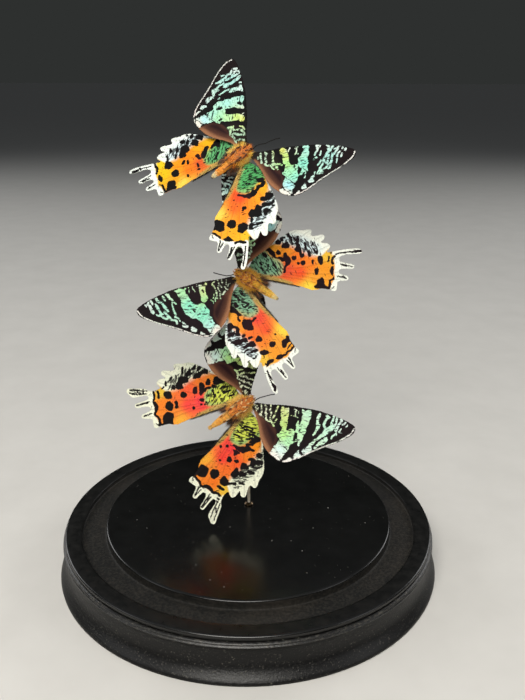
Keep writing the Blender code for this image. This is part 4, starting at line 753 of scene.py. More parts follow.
# Dark marks of each hindwing, given in the same way.
HIND_MARKS = {
    "top_moth_left_hindwing": (
        (0, 12.2, -0.4, 13.4, -0.3, 13.9, -1.2, 13.8, -2.6, 13.4, -3.6, 13.6, -4.6, 13.2, -5.3, 14, -6, 14.2,
         -7.4, 13.6, -8.6, 13.6, -9.8, 13, -10.4, 12.2, -10.2, 11.4, -10.9, 10.4, -11.2, 9.4, -11.8, 8.4, -12,
         8.6, -11.3, 10, -10.7, 11.2, -9.8, 11.4, -8.6, 12, -7.6, 11.9, -6.2, 12.6, -5.6, 12.2, -4.4, 12, -3,
         12.6, -2.2, 12.2, -1.2),
        (0, 9.6, -1.6, 10.4, -0.6, 11.2, 0.6, 12, 0.6, 12.1, -0.6, 11.2, -1.9, 10.4, -2.1),
        (0, 17.2, -3.4, 18.4, -2.4, 19.6, -2.2, 20.4, -3, 20.2, -4.4, 19.6, -5.6, 19.2, -6.8, 18.6, -6, 17.8,
         -5.4, 17.4, -4.2), (0, 17, -6, 17.6, -5.4, 18.6, -5.9, 18.8, -6.6, 18.4, -7.4, 17.6, -7.5, 17, -6.8),
        (0, 19, -8.2, 20, -7, 21.4, -6.9, 21.2, -8, 20.8, -8.8, 20.6, -9.8, 20.9, -10.8, 21.6, -11.6, 22.6,
         -11.9, 22.3, -12.8, 22, -13.8, 20.8, -14.2, 20.4, -15.2, 19, -15.8, 18, -15.2, 17.6, -13.6, 17.6,
         -12.9, 18.8, -12.6, 18.4, -11.8, 17.9, -10.8, 18.2, -9.9, 19.2, -9.8, 20, -9),
        (0, 21.6, -9.6, 22.2, -8.6, 23.2, -8.2, 24, -8.8, 23.6, -9.8, 23.9, -10.8, 23.2, -11.4, 22.6, -10.6,
         21.8, -10.4),
        (0, 21.6, -18.2, 22.4, -17.2, 23.4, -17, 23, -18, 23.6, -18.6, 23.2, -19.4, 22.4, -19.6),
        (0, 18.6, -20.6, 19, -19.6, 20, -19.1, 21.2, -19.2, 22, -20.2, 22.2, -21.4, 21.9, -22.8, 21, -23.6,
         19.9, -23.6, 19, -22.6, 18.4, -21.6),
        (0, 11.2, -24.9, 12.4, -24.6, 13.6, -25.2, 14.4, -26.2, 15.2, -27.2, 14.6, -28.2, 13.4, -28.8, 12,
         -29.2, 11.4, -30.6, 12, -31.2, 11, -31.4, 10, -30, 9.6, -28, 9.2, -25.8, 10.2, -25.6),
        (0, 17.7, -30, 18.4, -28.6, 18.6, -27.9, 19.6, -27.8, 21.4, -27.9, 20.8, -28.6, 20, -29.2, 19.2,
         -29.8, 18.4, -30.2), (1.85, 15.8, -23), (0.8, 14.7, -14.4), (0.3, 15.2, -15.7), (0.45, 23.3, -6),
        (0.25, 8.8, -14.6), (0.2, 10.2, -19.2), (0.25, 4.1, -1.2), (0.5, 22, -4.4, 21.9, -5.4, 21.6, -6.8),
        (0.45, 24, -16.4, 24.6, -15.2, 25, -14.4), (0.4, 20.6, -16, 21.2, -17), (0.3, 22.9, -19.8, 24, -19),
        (0.45, 22.9, -28, 23.4, -26.8, 24.6, -26, 25.8, -25.2),
        (0.32, 12.4, -31, 13.6, -30.6, 15, -30.4, 16.4, -30.5),
        (0.13, 17.2, -31.2, 18.2, -32.8, 19.2, -34.4, 19.6, -34.9),
        (0.22, 23.1, -30.4, 23.8, -32, 24.6, -33.6, 24.9, -34.8),
        (0.13, 27.4, -28.4, 29.6, -31.2, 31.2, -33.6), (0.35, 5.6, 1.6, 6.2, 0.9, 6.6, 1),
        (0.2, 6, -2.4, 6.8, -2.2), (0.2, 7.4, -3.6, 8.2, -3.2), (0.3, 7.6, -5.9, 8.9, -4.9),
        (0.15, 6, -6, 6.9, -5.2), (0.15, 6.9, -7.2, 7.6, -6.9),
    ),
    "top_moth_right_hindwing": (
        (0, 9.2, -1.6, 9.4, -0.6, 10.2, 0.4, 11.2, 1, 12.4, 1.2, 12.4, -0.8, 12, -2.6, 11.6, -4, 10.8, -3.6,
         11, -2.6, 10.2, -1.8),
        (0, 13, -4.2, 13.9, -4.4, 13.6, -5.8, 13.2, -7.4, 12.6, -8.8, 11.6, -9.4, 10.4, -9.6, 10.2, -8.6,
         11.2, -7, 12, -5.4),
        (0, 11.2, -10.2, 12.6, -9.9, 13.6, -9.4, 14.5, -9.9, 14.2, -10.8, 12.8, -11, 11.6, -10.8),
        (0, 17.6, -3.6, 18.2, -2.4, 19.2, -2, 20.4, -2.4, 21, -3.4, 20.9, -4.6, 20.2, -4.6, 19.4, -4.2, 18.6,
         -4),
        (0, 17.2, -6.6, 17.8, -5.6, 18.8, -5, 20, -5.2, 20.8, -6.2, 20.6, -7.2, 19.6, -8, 18.6, -7.6, 17.6,
         -7), (0, 21.8, -5.6, 22.4, -4.4, 23.3, -3.8, 23.6, -5, 23, -6),
        (0, 21, -9, 21.8, -7.8, 22.6, -7, 23, -7.6, 22.4, -8.6, 21.6, -9.6),
        (0, 23, -8.8, 24.4, -8.6, 25.2, -9.6, 24.8, -10.4, 23.6, -10.2),
        (0, 18.6, -10.6, 19.6, -9.8, 21, -9.6, 22.4, -10, 22.6, -11.2, 21.9, -12.6, 20.9, -13.8, 20.2, -14.8,
         19, -15.6, 18, -14.6, 17.8, -13.4, 18.8, -12.6, 18.4, -11.6),
        (0, 24.4, -16.4, 24.6, -15.4, 25.4, -14.9, 26.2, -15.2, 25.6, -16.2),
        (0, 18.8, -20.8, 19.2, -19.9, 20.4, -19.6, 21.8, -19.9, 23, -20.4, 22.6, -21.4, 21.9, -22.6, 20.8,
         -23.4, 20.2, -22.8, 19.2, -22.2),
        (0, 10.9, -26.6, 11.6, -25.4, 12.6, -24.9, 13.8, -25.3, 14.6, -26.2, 14.4, -27.4, 13.6, -28.6, 12.8,
         -29.6, 12, -30.4, 11.2, -30, 10.4, -28.4, 9.8, -26.8, 10.4, -26.2),
        (0, 17.4, -28.6, 18.2, -27.4, 19.4, -27, 20.8, -27.2, 20, -28.2, 18.8, -28.8), (1.7, 15.3, -22.1),
        (0.5, 4.6, 0.8, 5.2, -0.6), (0.35, 5.8, -6.2, 6.6, -5, 7.4, -4), (0.3, 8.6, -10.6),
        (0.4, 9.5, -13.5, 10.6, -13), (0.5, 8.2, -14.3), (0.42, 14.2, -15.2, 15.2, -14.6),
        (0.5, 16.5, -15.6, 16, -16.9), (0.4, 9.6, -19.5, 10.3, -19.4), (0.3, 24.6, -6.2, 25, -5.8),
        (0.5, 22.4, -14.3, 23.6, -13.2), (0.45, 20.8, -16.9, 21.6, -16),
        (0.4, 22.8, -19.8, 23.6, -19.2, 24.8, -18.6), (0.18, 25.9, -23, 26.6, -23.4),
        (0.42, 22.2, -27.2, 22.9, -26.2, 24, -25.4, 25.4, -25, 27, -24.4),
        (0.38, 12.2, -31.2, 13.4, -30.6, 14.4, -30, 16, -29.8), (0.2, 16, -29.8, 17, -29.9),
        (0.2, 19.4, -33.2, 20.2, -33.8), (0.2, 23.2, -31, 24, -33, 24.6, -33.9),
        (0.3, 29.6, -30.4, 30.6, -30), (0.5, 30.6, -31.6, 31.6, -33.8),
    ),
    "middle_moth_left_hindwing": (
        (0, 12.4, 0.2, 13.6, 0.2, 13.7, -1.6, 13.4, -3.2, 12.6, -4.2, 12, -5.2, 12.6, -6, 13.2, -7.4, 13.6,
         -8, 14.4, -7, 15.2, -7.2, 15.9, -8, 15, -8.6, 14.7, -10.2, 13.8, -11.2, 12.6, -11.4, 11.4, -10.6,
         10.2, -11, 8.6, -11.6, 8.3, -11, 10.2, -10.3, 11.6, -9.9, 12.6, -9.2, 12, -7.8, 12.1, -6.4, 11.6,
         -4.6, 11.8, -2.6, 12.3, -1.2), (0, 13.6, -4, 14.8, -4, 15, -5, 14.2, -5.9, 13.5, -5.2),
        (0, 9.6, -0.2, 10.6, 0.6, 10.8, -1, 10.2, -1.8, 9.6, -1.4),
        (0, 17, -1.6, 18.2, -1.4, 18.8, -2.2, 18.6, -3.4, 17.6, -3.6, 17.1, -2.8),
        (0, 17, -4.8, 17.8, -4.6, 19, -5.2, 20, -5.4, 19.4, -6.6, 18.6, -7.6, 17.8, -7, 17.2, -6.2),
        (0, 18.8, -10, 20.2, -9.9, 21.4, -9.6, 21.8, -10.6, 21, -11.6, 20, -12.4, 19.2, -12.9, 18.8, -14,
         19.4, -13.9, 18.8, -14.9, 17.8, -14.6, 17.7, -13.4, 18.8, -12.4, 18.7, -11.2),
        (0, 19.5, -16.4, 20.4, -15.4, 21.4, -15.2, 21, -16.4, 20.2, -17.1),
        (0, 19.2, -22.6, 19.4, -21.4, 20.2, -20.6, 21.6, -20.1, 22.3, -20.6, 21.8, -21.8, 20.9, -22.6, 20,
         -22.9),
        (0, 9.8, -25.4, 11.4, -25.6, 12.6, -25, 13.6, -25.4, 15, -25.9, 14.2, -27, 13.4, -27.8, 12.8, -28.6,
         12.8, -29.6, 12, -31, 11.2, -29.8, 10.4, -27.6),
        (0, 18.2, -29.4, 18.2, -28.4, 19.2, -27.2, 20.4, -27, 21.2, -27.5, 20.2, -28.2, 19.2, -28.7),
        (0.9, 15.7, -11.7), (0.5, 14.8, -14.3), (0.95, 15.9, -16), (0.4, 18, -19.5, 18.7, -19),
        (0.75, 15.4, -22.9, 16.4, -22.4), (0.4, 6.4, -0.6, 6.2, -1.2), (0.3, 5, -2),
        (0.2, 4.4, -3.4, 5.2, -2.4), (0.25, 7, -4.4, 7.6, -4), (0.25, 6.5, -5.6),
        (0.35, 8.2, -7.4, 8.6, -6.2, 9.2, -5.4), (0.35, 19.2, -3.6, 19.9, -2.4), (0.2, 20.4, -2.8, 20.8, -4),
        (0.42, 22.2, -5.9, 22.6, -4.8, 23, -4.2), (0.3, 20.4, -8, 21.2, -7.2, 21.6, -6.6),
        (0.3, 22.8, -7.2, 22.4, -8.2), (0.5, 21.3, -9.4, 22.6, -9.2, 24, -8.4),
        (0.4, 21.6, -13.9, 22.4, -13, 23.2, -12.3), (0.3, 22.2, -18.8, 22.7, -17.6, 23.1, -17),
        (0.2, 23.8, -15.2, 24.6, -15.5, 25.2, -14.9), (0.2, 23, -18.6, 23.6, -18.2), (0.2, 23, -20.2),
        (0.22, 21.8, -24.6, 22.8, -24.3, 23.8, -23.9),
        (0.35, 22.2, -26.8, 22.8, -25.9, 24, -25.6, 25.2, -25.7), (0.35, 25.6, -23.6),
        (0.34, 12.2, -31, 13.4, -30.6, 14.4, -30, 15.6, -29.6, 16.4, -30.2), (0.18, 16.4, -30.2, 17.6, -29.9),
        (0.1, 19.4, -32.4, 20, -34.2), (0.14, 23.6, -30.6, 24.4, -32.4),
        (0.16, 26.2, -25.8, 27.6, -27.2, 28.8, -28.8), (0.25, 29.8, -30, 30.5, -31.2),
        (0.45, 31.4, -32, 32.6, -34),
    ),
    "middle_moth_right_hindwing": (
        (0, 11.2, 0.4, 12.2, 0, 13, -0.6, 12.6, -1.8, 12.4, -3.2, 12.6, -4.4, 12, -5.4, 11.6, -4, 11.2, -2.6,
         10.6, -1.2),
        (0, 12.9, -7.2, 14.2, -7, 15.4, -8, 16.3, -9, 15.8, -10.4, 15.9, -11.2, 15, -12.4, 14, -12.2, 13.2,
         -11.2, 12.2, -10.6, 11, -11, 9.8, -11.4, 9.9, -10.6, 11.6, -10.2, 11.8, -9.2, 12.4, -8.4),
        (0, 17, -3, 18, -2.4, 19.4, -3, 20.6, -3.8, 20.4, -4.4, 19, -4.4, 18.4, -5.2, 18, -6.4, 19, -6.8,
         20.4, -7.6, 20.2, -8.6, 19.4, -8.9, 18.6, -7.9, 17.6, -7.6, 17, -6.4, 17.4, -5),
        (0, 19.4, -6.2, 20.4, -5.4, 21.4, -4.6, 22.4, -4.6, 22.2, -5.6, 21.4, -6.4, 20.2, -6.8),
        (0, 21.2, -9.8, 22, -8.6, 23.2, -8, 24, -7.4, 24, -8.6, 24.2, -9.6, 23.2, -10.4, 22.4, -11.2, 21.4,
         -11.4, 21.6, -10.4), (0, 19.4, -11.8, 20.2, -10.6, 21.2, -10.2, 21.4, -11.4, 20.9, -12.6, 20, -13),
        (0, 19.2, -14.8, 20, -13.9, 21, -13.8, 22.2, -12.9, 23.4, -13, 23, -13.8, 21.8, -14.6, 21.4, -15.6,
         20.6, -16.6, 19.6, -16.6, 19.1, -15.6),
        (0, 15.8, -16, 16.6, -15.5, 17.8, -15.6, 18.2, -16.6, 17.6, -17.6, 16.6, -18, 16, -17.2),
        (0, 19.5, -22.6, 19.6, -21.4, 20.4, -20.4, 21.4, -19.9, 22.1, -20.3, 21.8, -21.6, 20.9, -22.6, 20,
         -23), (0, 14.8, -22.6, 15.4, -21.7, 16.6, -21.5, 17.3, -22.4, 16.9, -23.4, 15.8, -23.8, 15, -23.4),
        (0, 11, -26.4, 12.2, -25.6, 13.6, -25.9, 15, -26.8, 14.6, -27.6, 13.4, -28, 12, -27.8, 11.2, -28.4,
         11.6, -29.6, 12.2, -31, 11.4, -31.2, 10.4, -29.4, 9.8, -27, 10.2, -26),
        (0, 21.3, -26.4, 22, -25, 23.2, -24.4, 24.4, -24.9, 25.2, -25, 24.6, -25.5, 23.4, -25.8, 22.4, -26.4),
        (0, 17.3, -28.8, 18.2, -27.8, 19.2, -27, 20.6, -26.8, 20.2, -27.8, 19.4, -28.6, 18.4, -29.2, 17.6,
         -29.3), (0.35, 13.4, -4.6, 14.2, -5, 14.4, -5.8), (0.4, 5.8, 1.8, 6.2, 0.2, 6.6, -1),
        (0.7, 9, -0.6, 9.6, -1.6), (0.4, 9.6, 0.8, 11, 0.4), (0.2, 4, 0, 4.2, -2.4),
        (0.2, 6.2, -4.8, 6.6, -3.6, 7, -2.6), (0.3, 6.2, -5.4, 8.2, -5), (0.15, 6.8, -7, 7.8, -6.4),
        (0.3, 7, -8.2), (0.12, 3, 0.6, 3.4, -1), (0.15, 8, -3.4, 8.4, -4.6), (0.3, 23.2, -6.4, 23.8, -6),
        (0.5, 18.6, -10.6, 19.2, -10.2), (0.45, 17.8, -13.6, 18.6, -13),
        (0.45, 21.4, -18.4, 22.2, -17.4, 23.2, -16.8), (0.2, 23, -14.9, 24, -14.6, 25, -14.2),
        (0.2, 23.4, -19.2, 24.4, -19.4, 25.2, -18.6), (0.15, 25, -15.4, 24.8, -16.2), (0.35, 27.6, -12.5),
        (0.3, 27.6, -17.6), (0.3, 11.7, -21.5), (0.2, 22.2, -22.2), (0.25, 24.7, -24.3),
        (0.28, 12.4, -31, 13.4, -30.6, 14.6, -30.4, 15.6, -29.8, 17.4, -29.5),
        (0.14, 11.6, -29.2, 13, -29.2, 14.6, -29), (0.12, 17.4, -31.2, 18.6, -33, 19.4, -34.2),
        (0.12, 23.4, -31, 24.4, -33), (0.12, 26.8, -26.4, 28, -28.2, 29.2, -30),
        (0.45, 30.4, -31, 31.2, -32.4, 32.2, -33.2),
    ),
    "bottom_moth_left_hindwing": (
        (0, 12, 0, 13.6, -0.2, 13.5, -2, 13.6, -3.6, 12.8, -4, 12, -4.4, 11.6, -3.2, 11.4, -1.8),
        (0, 11.8, -6, 12.6, -4.6, 13.6, -3.9, 13.2, -5, 12.4, -6.2),
        (0, 12, -8.2, 12.6, -7, 14, -5.8, 14.8, -6, 14.6, -7.4, 14.6, -8.6, 13.4, -9.4, 12, -10.2, 10.6,
         -10.6, 9.8, -11, 9.6, -10.4, 11, -9.4),
        (0, 11.4, -11.6, 12.2, -10.8, 13.6, -9.9, 13.8, -11, 13.4, -12.6, 12.6, -12.2, 12.2, -11.7),
        (0, 17.4, -3.4, 18.4, -2.8, 19.2, -2.2, 19.8, -3.2, 19.4, -4.2, 18.6, -4.9, 17.8, -4.4),
        (0, 20, -5.2, 20.6, -4.2, 21.8, -3.6, 22.4, -4.2, 22, -5.4, 21.2, -6.4, 20.6, -5.9, 20.2, -5.6),
        (0, 17.6, -7.4, 18.4, -6.4, 19.6, -5.8, 21, -5.8, 20.8, -7, 21.2, -8, 20.4, -9.2, 19.6, -8, 18.8,
         -7.6, 18.2, -8.4), (0, 21.6, -10.4, 22.4, -9.4, 24, -8.8, 23.8, -9.9, 22.8, -10.9, 21.9, -11),
        (0, 18, -11, 19, -10, 20.4, -9.8, 21.2, -10.6, 20.4, -11.6, 19.6, -12.6, 18.6, -12.4),
        (0, 20.2, -13.4, 21.6, -12.4, 22.2, -11.4, 22.8, -12.4, 22.8, -13.6, 21.8, -14.8, 20.9, -14.6, 20.8,
         -13.9),
        (0, 18.4, -14.2, 19.4, -13.9, 20.8, -14.6, 21.4, -16, 21.5, -17, 20, -17.7, 19.2, -16.8, 18.6, -15.4),
        (0, 15.2, -13, 15.8, -12.3, 16.6, -12.1, 16.6, -12.8, 16.2, -13.5, 15.4, -13.6),
        (0, 12.8, -15, 13.6, -14.2, 14.8, -14.2, 14.9, -15.4, 14, -16, 13.2, -15.8),
        (0, 18.8, -20.6, 19.4, -20, 21.4, -19.9, 22.4, -21, 22, -22.4, 20.8, -23, 19.6, -22.5, 18.8, -21.6),
        (0, 10.8, -25.4, 12, -24.5, 13.4, -24.8, 14.4, -25.6, 15, -27, 14.4, -28.4, 13.2, -29.4, 12.4, -30.2,
         11.8, -31.4, 11.2, -30.4, 10.6, -28, 10.2, -26.2),
        (0, 18, -29.8, 18.2, -28.6, 19.2, -27.4, 20.4, -27.1, 21.8, -27.3, 22.6, -26.4, 24, -25.6, 25.2,
         -25.3, 25.2, -26, 23.6, -26.6, 22.6, -27.6, 21.4, -28.2, 20.2, -28.4, 19.2, -29.2, 18.4, -30.2),
        (1.85, 16, -23.2), (0.45, 13, -6.2, 14.6, -5.4, 15.8, -4.8), (0.55, 8.7, -13), (0.5, 7.5, -15.6),
        (0.4, 12.2, -18.5), (0.28, 5.2, -3, 6.4, -1.6, 7.9, -0.6), (0.3, 6.2, -3.6, 7.4, -2.4),
        (0.35, 8.2, -1.8, 9.6, -0.6), (0.4, 9.2, -2.8, 11.2, -0.8), (0.3, 10.4, -4.8, 11, -2.6),
        (0.12, 5, -6.4, 6.8, -5.6), (0.28, 6, -8.2, 7.8, -6.8), (0.15, 4, -4.4, 5.6, -3.8),
        (0.2, 2.8, -3.4, 4, -2.4), (0.25, 23.2, -4.9, 22.8, -6.4, 22.2, -7.4, 21.2, -8.6), (0.3, 20.2, -9.9),
        (0.35, 24.3, -16.2, 25, -15.2, 25.6, -14.8), (0.4, 22.4, -20.4, 23, -18.8, 23.8, -17.9),
        (0.45, 21, -24.6, 22, -24, 23.4, -23.3),
        (0.38, 11.8, -31.4, 13, -30.9, 14.4, -30.5, 16, -30.3, 17.6, -30.4, 18.2, -30),
        (0.14, 17.5, -31.2, 18.4, -32.8, 19.2, -34.4), (0.16, 22.3, -28.9, 23.2, -31, 24.4, -33.4, 25, -34.6),
        (0.2, 25.2, -27, 26, -26.8), (0.2, 26, -28, 26.6, -27.8), (0.15, 28.4, -29.6, 29.8, -30.6),
    ),
    "bottom_moth_right_hindwing": (
        (0, 11.2, 0.6, 12.4, 0.2, 13.4, 0.2, 14, -0.8, 13.6, -2.4, 12.6, -3.2, 11.9, -2.8, 11.6, -1.6),
        (0, 10.4, -3.2, 11.4, -3, 12.2, -4, 11.4, -4.6, 10.6, -4),
        (0, 13, -4.8, 14, -3.6, 15.2, -3.6, 15.2, -4.6, 14.6, -5.6, 13.8, -5.8),
        (0, 13, -8, 13.8, -6.8, 14.8, -6.6, 15.9, -7.2, 15.9, -8.2, 14.8, -8.8, 13.6, -9.6, 12.6, -10.4, 11.6,
         -10.2, 12, -9.2, 12.4, -8.4),
        (0, 13.6, -11.2, 14.4, -10.2, 15.8, -9.8, 16, -11, 15.6, -11.9, 14.4, -12.2),
        (0, 17.4, -2.6, 18.2, -1.8, 19.6, -1.9, 20, -2.6, 19.6, -3.6, 20, -5, 20.2, -6.4, 20, -8, 19.4, -8.5,
         18.6, -7.6, 18, -6.4, 18.6, -5, 18, -3.6),
        (0, 20.7, -4.8, 20.9, -3.4, 21.7, -3, 22, -4, 21.5, -5.4, 21, -5.6),
        (0, 22.4, -6.4, 22.6, -4.9, 23.4, -4.4, 23.4, -5.8, 22.9, -6.8),
        (0, 21.2, -7.4, 22, -8, 22.6, -7.6, 23.4, -7.4, 23.4, -9, 22.6, -10.4, 21.6, -10, 21.4, -8.6),
        (0, 19.8, -10.9, 20.8, -10.5, 21.6, -10.4, 22.8, -11.4, 23.4, -12.6, 22.8, -14, 22, -15.4, 21.6,
         -16.2, 20.6, -16.6, 19.6, -16.2, 19, -15, 19.2, -14.2, 20.4, -13.8, 20.2, -12.4),
        (0, 20.8, -17.8, 21.2, -16.8, 21.9, -16.6, 22.8, -17.2, 22, -18.2, 21.2, -18.2),
        (0, 15.2, -15.8, 15.8, -15, 17, -14.9, 17.8, -15.6, 17.4, -16.8, 16.2, -17.2, 15.4, -16.6),
        (0, 18.8, -21, 19.4, -20.1, 20.8, -19.8, 22, -20.4, 22.4, -21.6, 21.6, -22.7, 20.4, -22.7, 19.2, -22),
        (0, 14.7, -23.4, 15.4, -22.3, 16.8, -21.9, 18.2, -22.6, 18.4, -23.6, 17.4, -24.8, 15.6, -25, 14.8,
         -24.4),
        (0, 10.6, -26.4, 11.6, -24.8, 12.8, -24.3, 14, -24.8, 15, -25.8, 15.2, -26.8, 14.4, -28.2, 13.4,
         -29.2, 12.4, -29.8, 12.6, -30.8, 12.8, -31.8, 12, -31.2, 11.2, -29.2, 10.2, -27.4, 9.6, -26.6),
        (0, 18, -30.2, 18.2, -28.8, 19.2, -27.4, 20.4, -27.2, 22, -27.4, 22.4, -27.8, 21.2, -28.4, 20, -28.6,
         19, -29.4), (0.4, 12, -5.4, 12.6, -6.6, 12.2, -7.8), (0.5, 9.6, -10.8, 10.4, -11.6),
        (0.4, 8.6, -12.4), (0.3, 7.8, -11.4), (0.3, 5.9, 0.6, 6.2, -1.4, 6.6, -2.2),
        (0.25, 3.6, 0.8, 4, -1.4), (0.25, 7.8, 0.8, 8.2, -0.8), (0.28, 8.6, -0.4, 8.9, -2.2),
        (0.2, 7, -1.6, 7.2, -2.4), (0.35, 10.2, 1, 11.2, -2),
        (0.25, 7.6, -6.6, 8.2, -5.4, 8.8, -5.9, 9.4, -5.4), (0.5, 10.2, -5.4), (0.3, 9.5, -7.8),
        (0.25, 7.2, -8.2), (0.3, 8, -4), (0.2, 5.4, -4.6), (0.35, 8, -10.3),
        (0.38, 24, -11, 25, -10.2, 25.9, -9.4), (0.2, 24.4, -14.2, 25, -13.6),
        (0.28, 25.2, -16.8, 25.6, -15.4), (0.28, 24.2, -19.6, 25, -19.2, 25.6, -18.6),
        (0.2, 24.2, -21.8, 24.6, -20.6), (0.6, 9.4, -15.8), (0.55, 14.2, -21.4, 15.2, -20.6, 16.2, -20.4),
        (0.36, 22, -25, 23, -24.4, 24.6, -23.8), (0.38, 22.8, -27.2, 23.8, -26.2, 25.6, -25.2),
        (0.36, 12.8, -31.6, 13.6, -30.6, 15, -30.2, 16.6, -30.2, 17.8, -30.4), (0.1, 19.2, -32, 19.8, -34),
        (0.2, 23.4, -30.2, 24.6, -32.4, 25.4, -34.2), (0.2, 28, -29, 29, -28.4),
        (0.15, 28.6, -29.8, 31.6, -33.8), (0.1, 30.2, -29.6, 32.6, -32.8),
    ),
}
HIND_SPOTS = (
    (15, -2), (16.5, -7), (10, -12), (12, -17), (17, -13), (17, -19), (9, -23.5), (13, -24),
    (19, -25), (23.5, -22.8),
)
HIND_TINTS = {
    # band colours at the spots; then the green of the root, its rim, and the white of the edge
    "top_moth_left_hindwing": ("F8AC10 FB9C10 F0481C F86818 F98A10 F98A10 F8D050 F8A020 F8A810 F4BC18",
                               "4FA860", "8CC070", "F2F6EC"),
    "top_moth_right_hindwing": ("F5B410 F5A210 E05C28 F57A10 F58A10 F59410 F8D050 F5A418 F0BC10 F0C818",
                                "5FB070", "8CC070", "EEF6EE"),
    "middle_moth_left_hindwing": ("F09C20 F09018 E8502C F05020 F07418 F07C1C F8D040 F09A28 F0941C E8B838",
                                  "7CAE8C", "A8B884", "F0F4E8"),
    "middle_moth_right_hindwing": ("F09C20 F09018 F04430 F05020 F06C1C F07C1C F8D040 F09A28 F0941C E8B838",
                                   "7CAE8C", "A8B884", "F0F4E8"),
    "bottom_moth_left_hindwing": ("F09010 F08018 F03838 F03C30 F05C20 F06C20 F0A830 F08428 F07418 E8BC38",
                                  "CCD650", "9CC070", "EEF0D8"),
    "bottom_moth_right_hindwing": ("F08818 F07818 F43A40 F44038 F4582A F06C28 F0A830 F08428 F07C18 E8BC38",
                                   "D4DC54", "A4C874", "EEF0D8"),
}
# The colour of each moth's dark scales.
DARK_SCALES = {"top_moth": "070506", "middle_moth": "180A10", "bottom_moth": "0E0808"}
# Zones of the left wings, each given by its corners in (u, v) mm.
FORE_ROOT = (0, 0, 1.6, 6, 7, 12, 11, 8, 11, 1, 4, -1)
FORE_TIP = (19, 23, 30, 30, 36, 28, 33, 12, 28, 10, 26, 12, 21, 18)
FORE_GROUND = (
    # (zone, colour of its dark scales, width in mm over which it fades)
    ((15, 30, 40, 30, 40, -6, 27, -6, 26, 8), "140A0C", 3.0),
    ((0, -4, 0, 2, 6, 6, 11, 6, 13, 3, 12, 0), "1C1612", 2.0),
    (SILK, "583628", 0.7),
    ((9, 1.2, 13, 1.8, 17, 1.6, 19, 0, 19.2, -2.2, 14, -1.4, 10, -0.4), "240E10", 2.6),
    ((3, -0.4, 8, -1.4, 14, -3.2, 20.6, -4.0, 21, -6, 8, -6, 3, -3), "9A6A4A", 1.4),
)
HIND_GREEN = (0.2, -1.5, 0.4, 3, 5, 3.6, 10, 3.2, 12.2, 0.4, 11.2, -3, 11.8, -6, 11, -9, 8.5, -10.6,
              6.2, -10.4, 4, -7, 2.2, -3.6)
HIND_ROOT = (1, -1, 1.4, 2.8, 5, 3.2, 9.5, 2.2, 10.6, -1, 10.2, -5, 8.8, -8.6, 6.4, -9, 4.2, -6)
HIND_HAIRY = (0, -1.5, 1.6, -2, 3.4, -5.5, 4.9, -9, 5.7, -12, 6.5, -15.5, 6.2, -17, 3, -12, 0, -6)
HIND_SMOKY = (9, -9, 16, -9, 16, -13, 9, -12.6)
WHITE_DASHES = (17, -0.6, 21, -2.4, 23.6, -6, 25, -10, 25.2, -14, 25.6, -18, 23.4, -19.6, 20.6, -17,
                19.6, -8, 18, -3)
DASHED_WHITE = {"slender": "D4E6EA", "broad": "E4EAD0"}
HIND_WHITE = (
    (17.6, -1.4, 18.4, -3.4, 20, -8, 20.5, -14, 21.5, -19, 24.5, -21.5, 40, -22, 40, 5, 16.5, 5, 16.5, -0.6),
    (10.5, -31.3, 12, -31.4, 15, -30.8, 17.8, -30.6, 19.2, -29.2, 21.6, -28.2, 22.6, -27.4, 24, -26.2,
     25.6, -25.4, 26, -24, 40, -24, 40, -40, 8, -40),
    (11.6, 2.2, 13, 0.6, 15, -0.4, 17.5, -1.6, 17.5, 4, 12, 4),
)
# Dark slots along the middle of each tail: (half width, points).
TAIL_SLOTS = {
    "slender": ((0.28, 27, -26.4, 29.6, -29.6, 32.2, -33.2), (0.24, 23.6, -29.4, 24.6, -32.2, 25.3, -34.5),
                (0.26, 18.8, -31.2, 19.3, -33, 19.8, -34.8), (0.2, 12.8, -31.8, 14.2, -32.4)),
    "broad": ((0.24, 27.6, -27.3, 29.8, -29.9, 32.3, -32.9), (0.24, 26.7, -28, 28.6, -31, 30.6, -33.3),
              (0.28, 23.4, -29.2, 24.6, -32.2, 25.4, -34.5),
              (0.24, 18.8, -31.2, 19.3, -33, 19.8, -34.8), (0.2, 12.8, -31.8, 14.2, -32.4)),
}
# The upper sides, seen from behind: emerald bands on black, and a red and gold corner.
UPPER_FORE = (
    (0.5, 4, 5.4, 5.6, 3.6, 6.4, 1.6, 6.8, 0), (0.3, 6.4, 8.6, 8, 6.4, 9.2, 3.6, 9.8, 0.4),
    (0.3, 8.2, 10.9, 10, 8.4, 11.6, 5.2, 12.2, 1.4),
    (0.9, 11.8, 14.2, 13.6, 11, 15, 7.2, 15.8, 3, 16, -1, 15.8, -4),
    (0.35, 14.4, 17, 16.4, 13.8, 17.6, 10.4),
    (1.0, 17, 19.2, 19, 16, 20.4, 12, 20.8, 8, 20.2, 4, 20.2, 0, 20.8, -4.2),
    (0.3, 20.4, 22.2, 22.4, 18.8, 23.6, 15),
    (0.35, 23.8, 24.2, 25.4, 20.8, 26, 16.4, 26.2, 12, 26, 6, 25.6, 1, 24.8, -3.2),
    (0.25, 27, 26.2, 28.6, 22, 29, 17.6, 29, 12, 28.4, 6, 27.6, 1, 26.8, -2),
    (0.2, 30, 27.4, 31, 23, 30.8, 18, 30.2, 12, 29.2, 5),
)
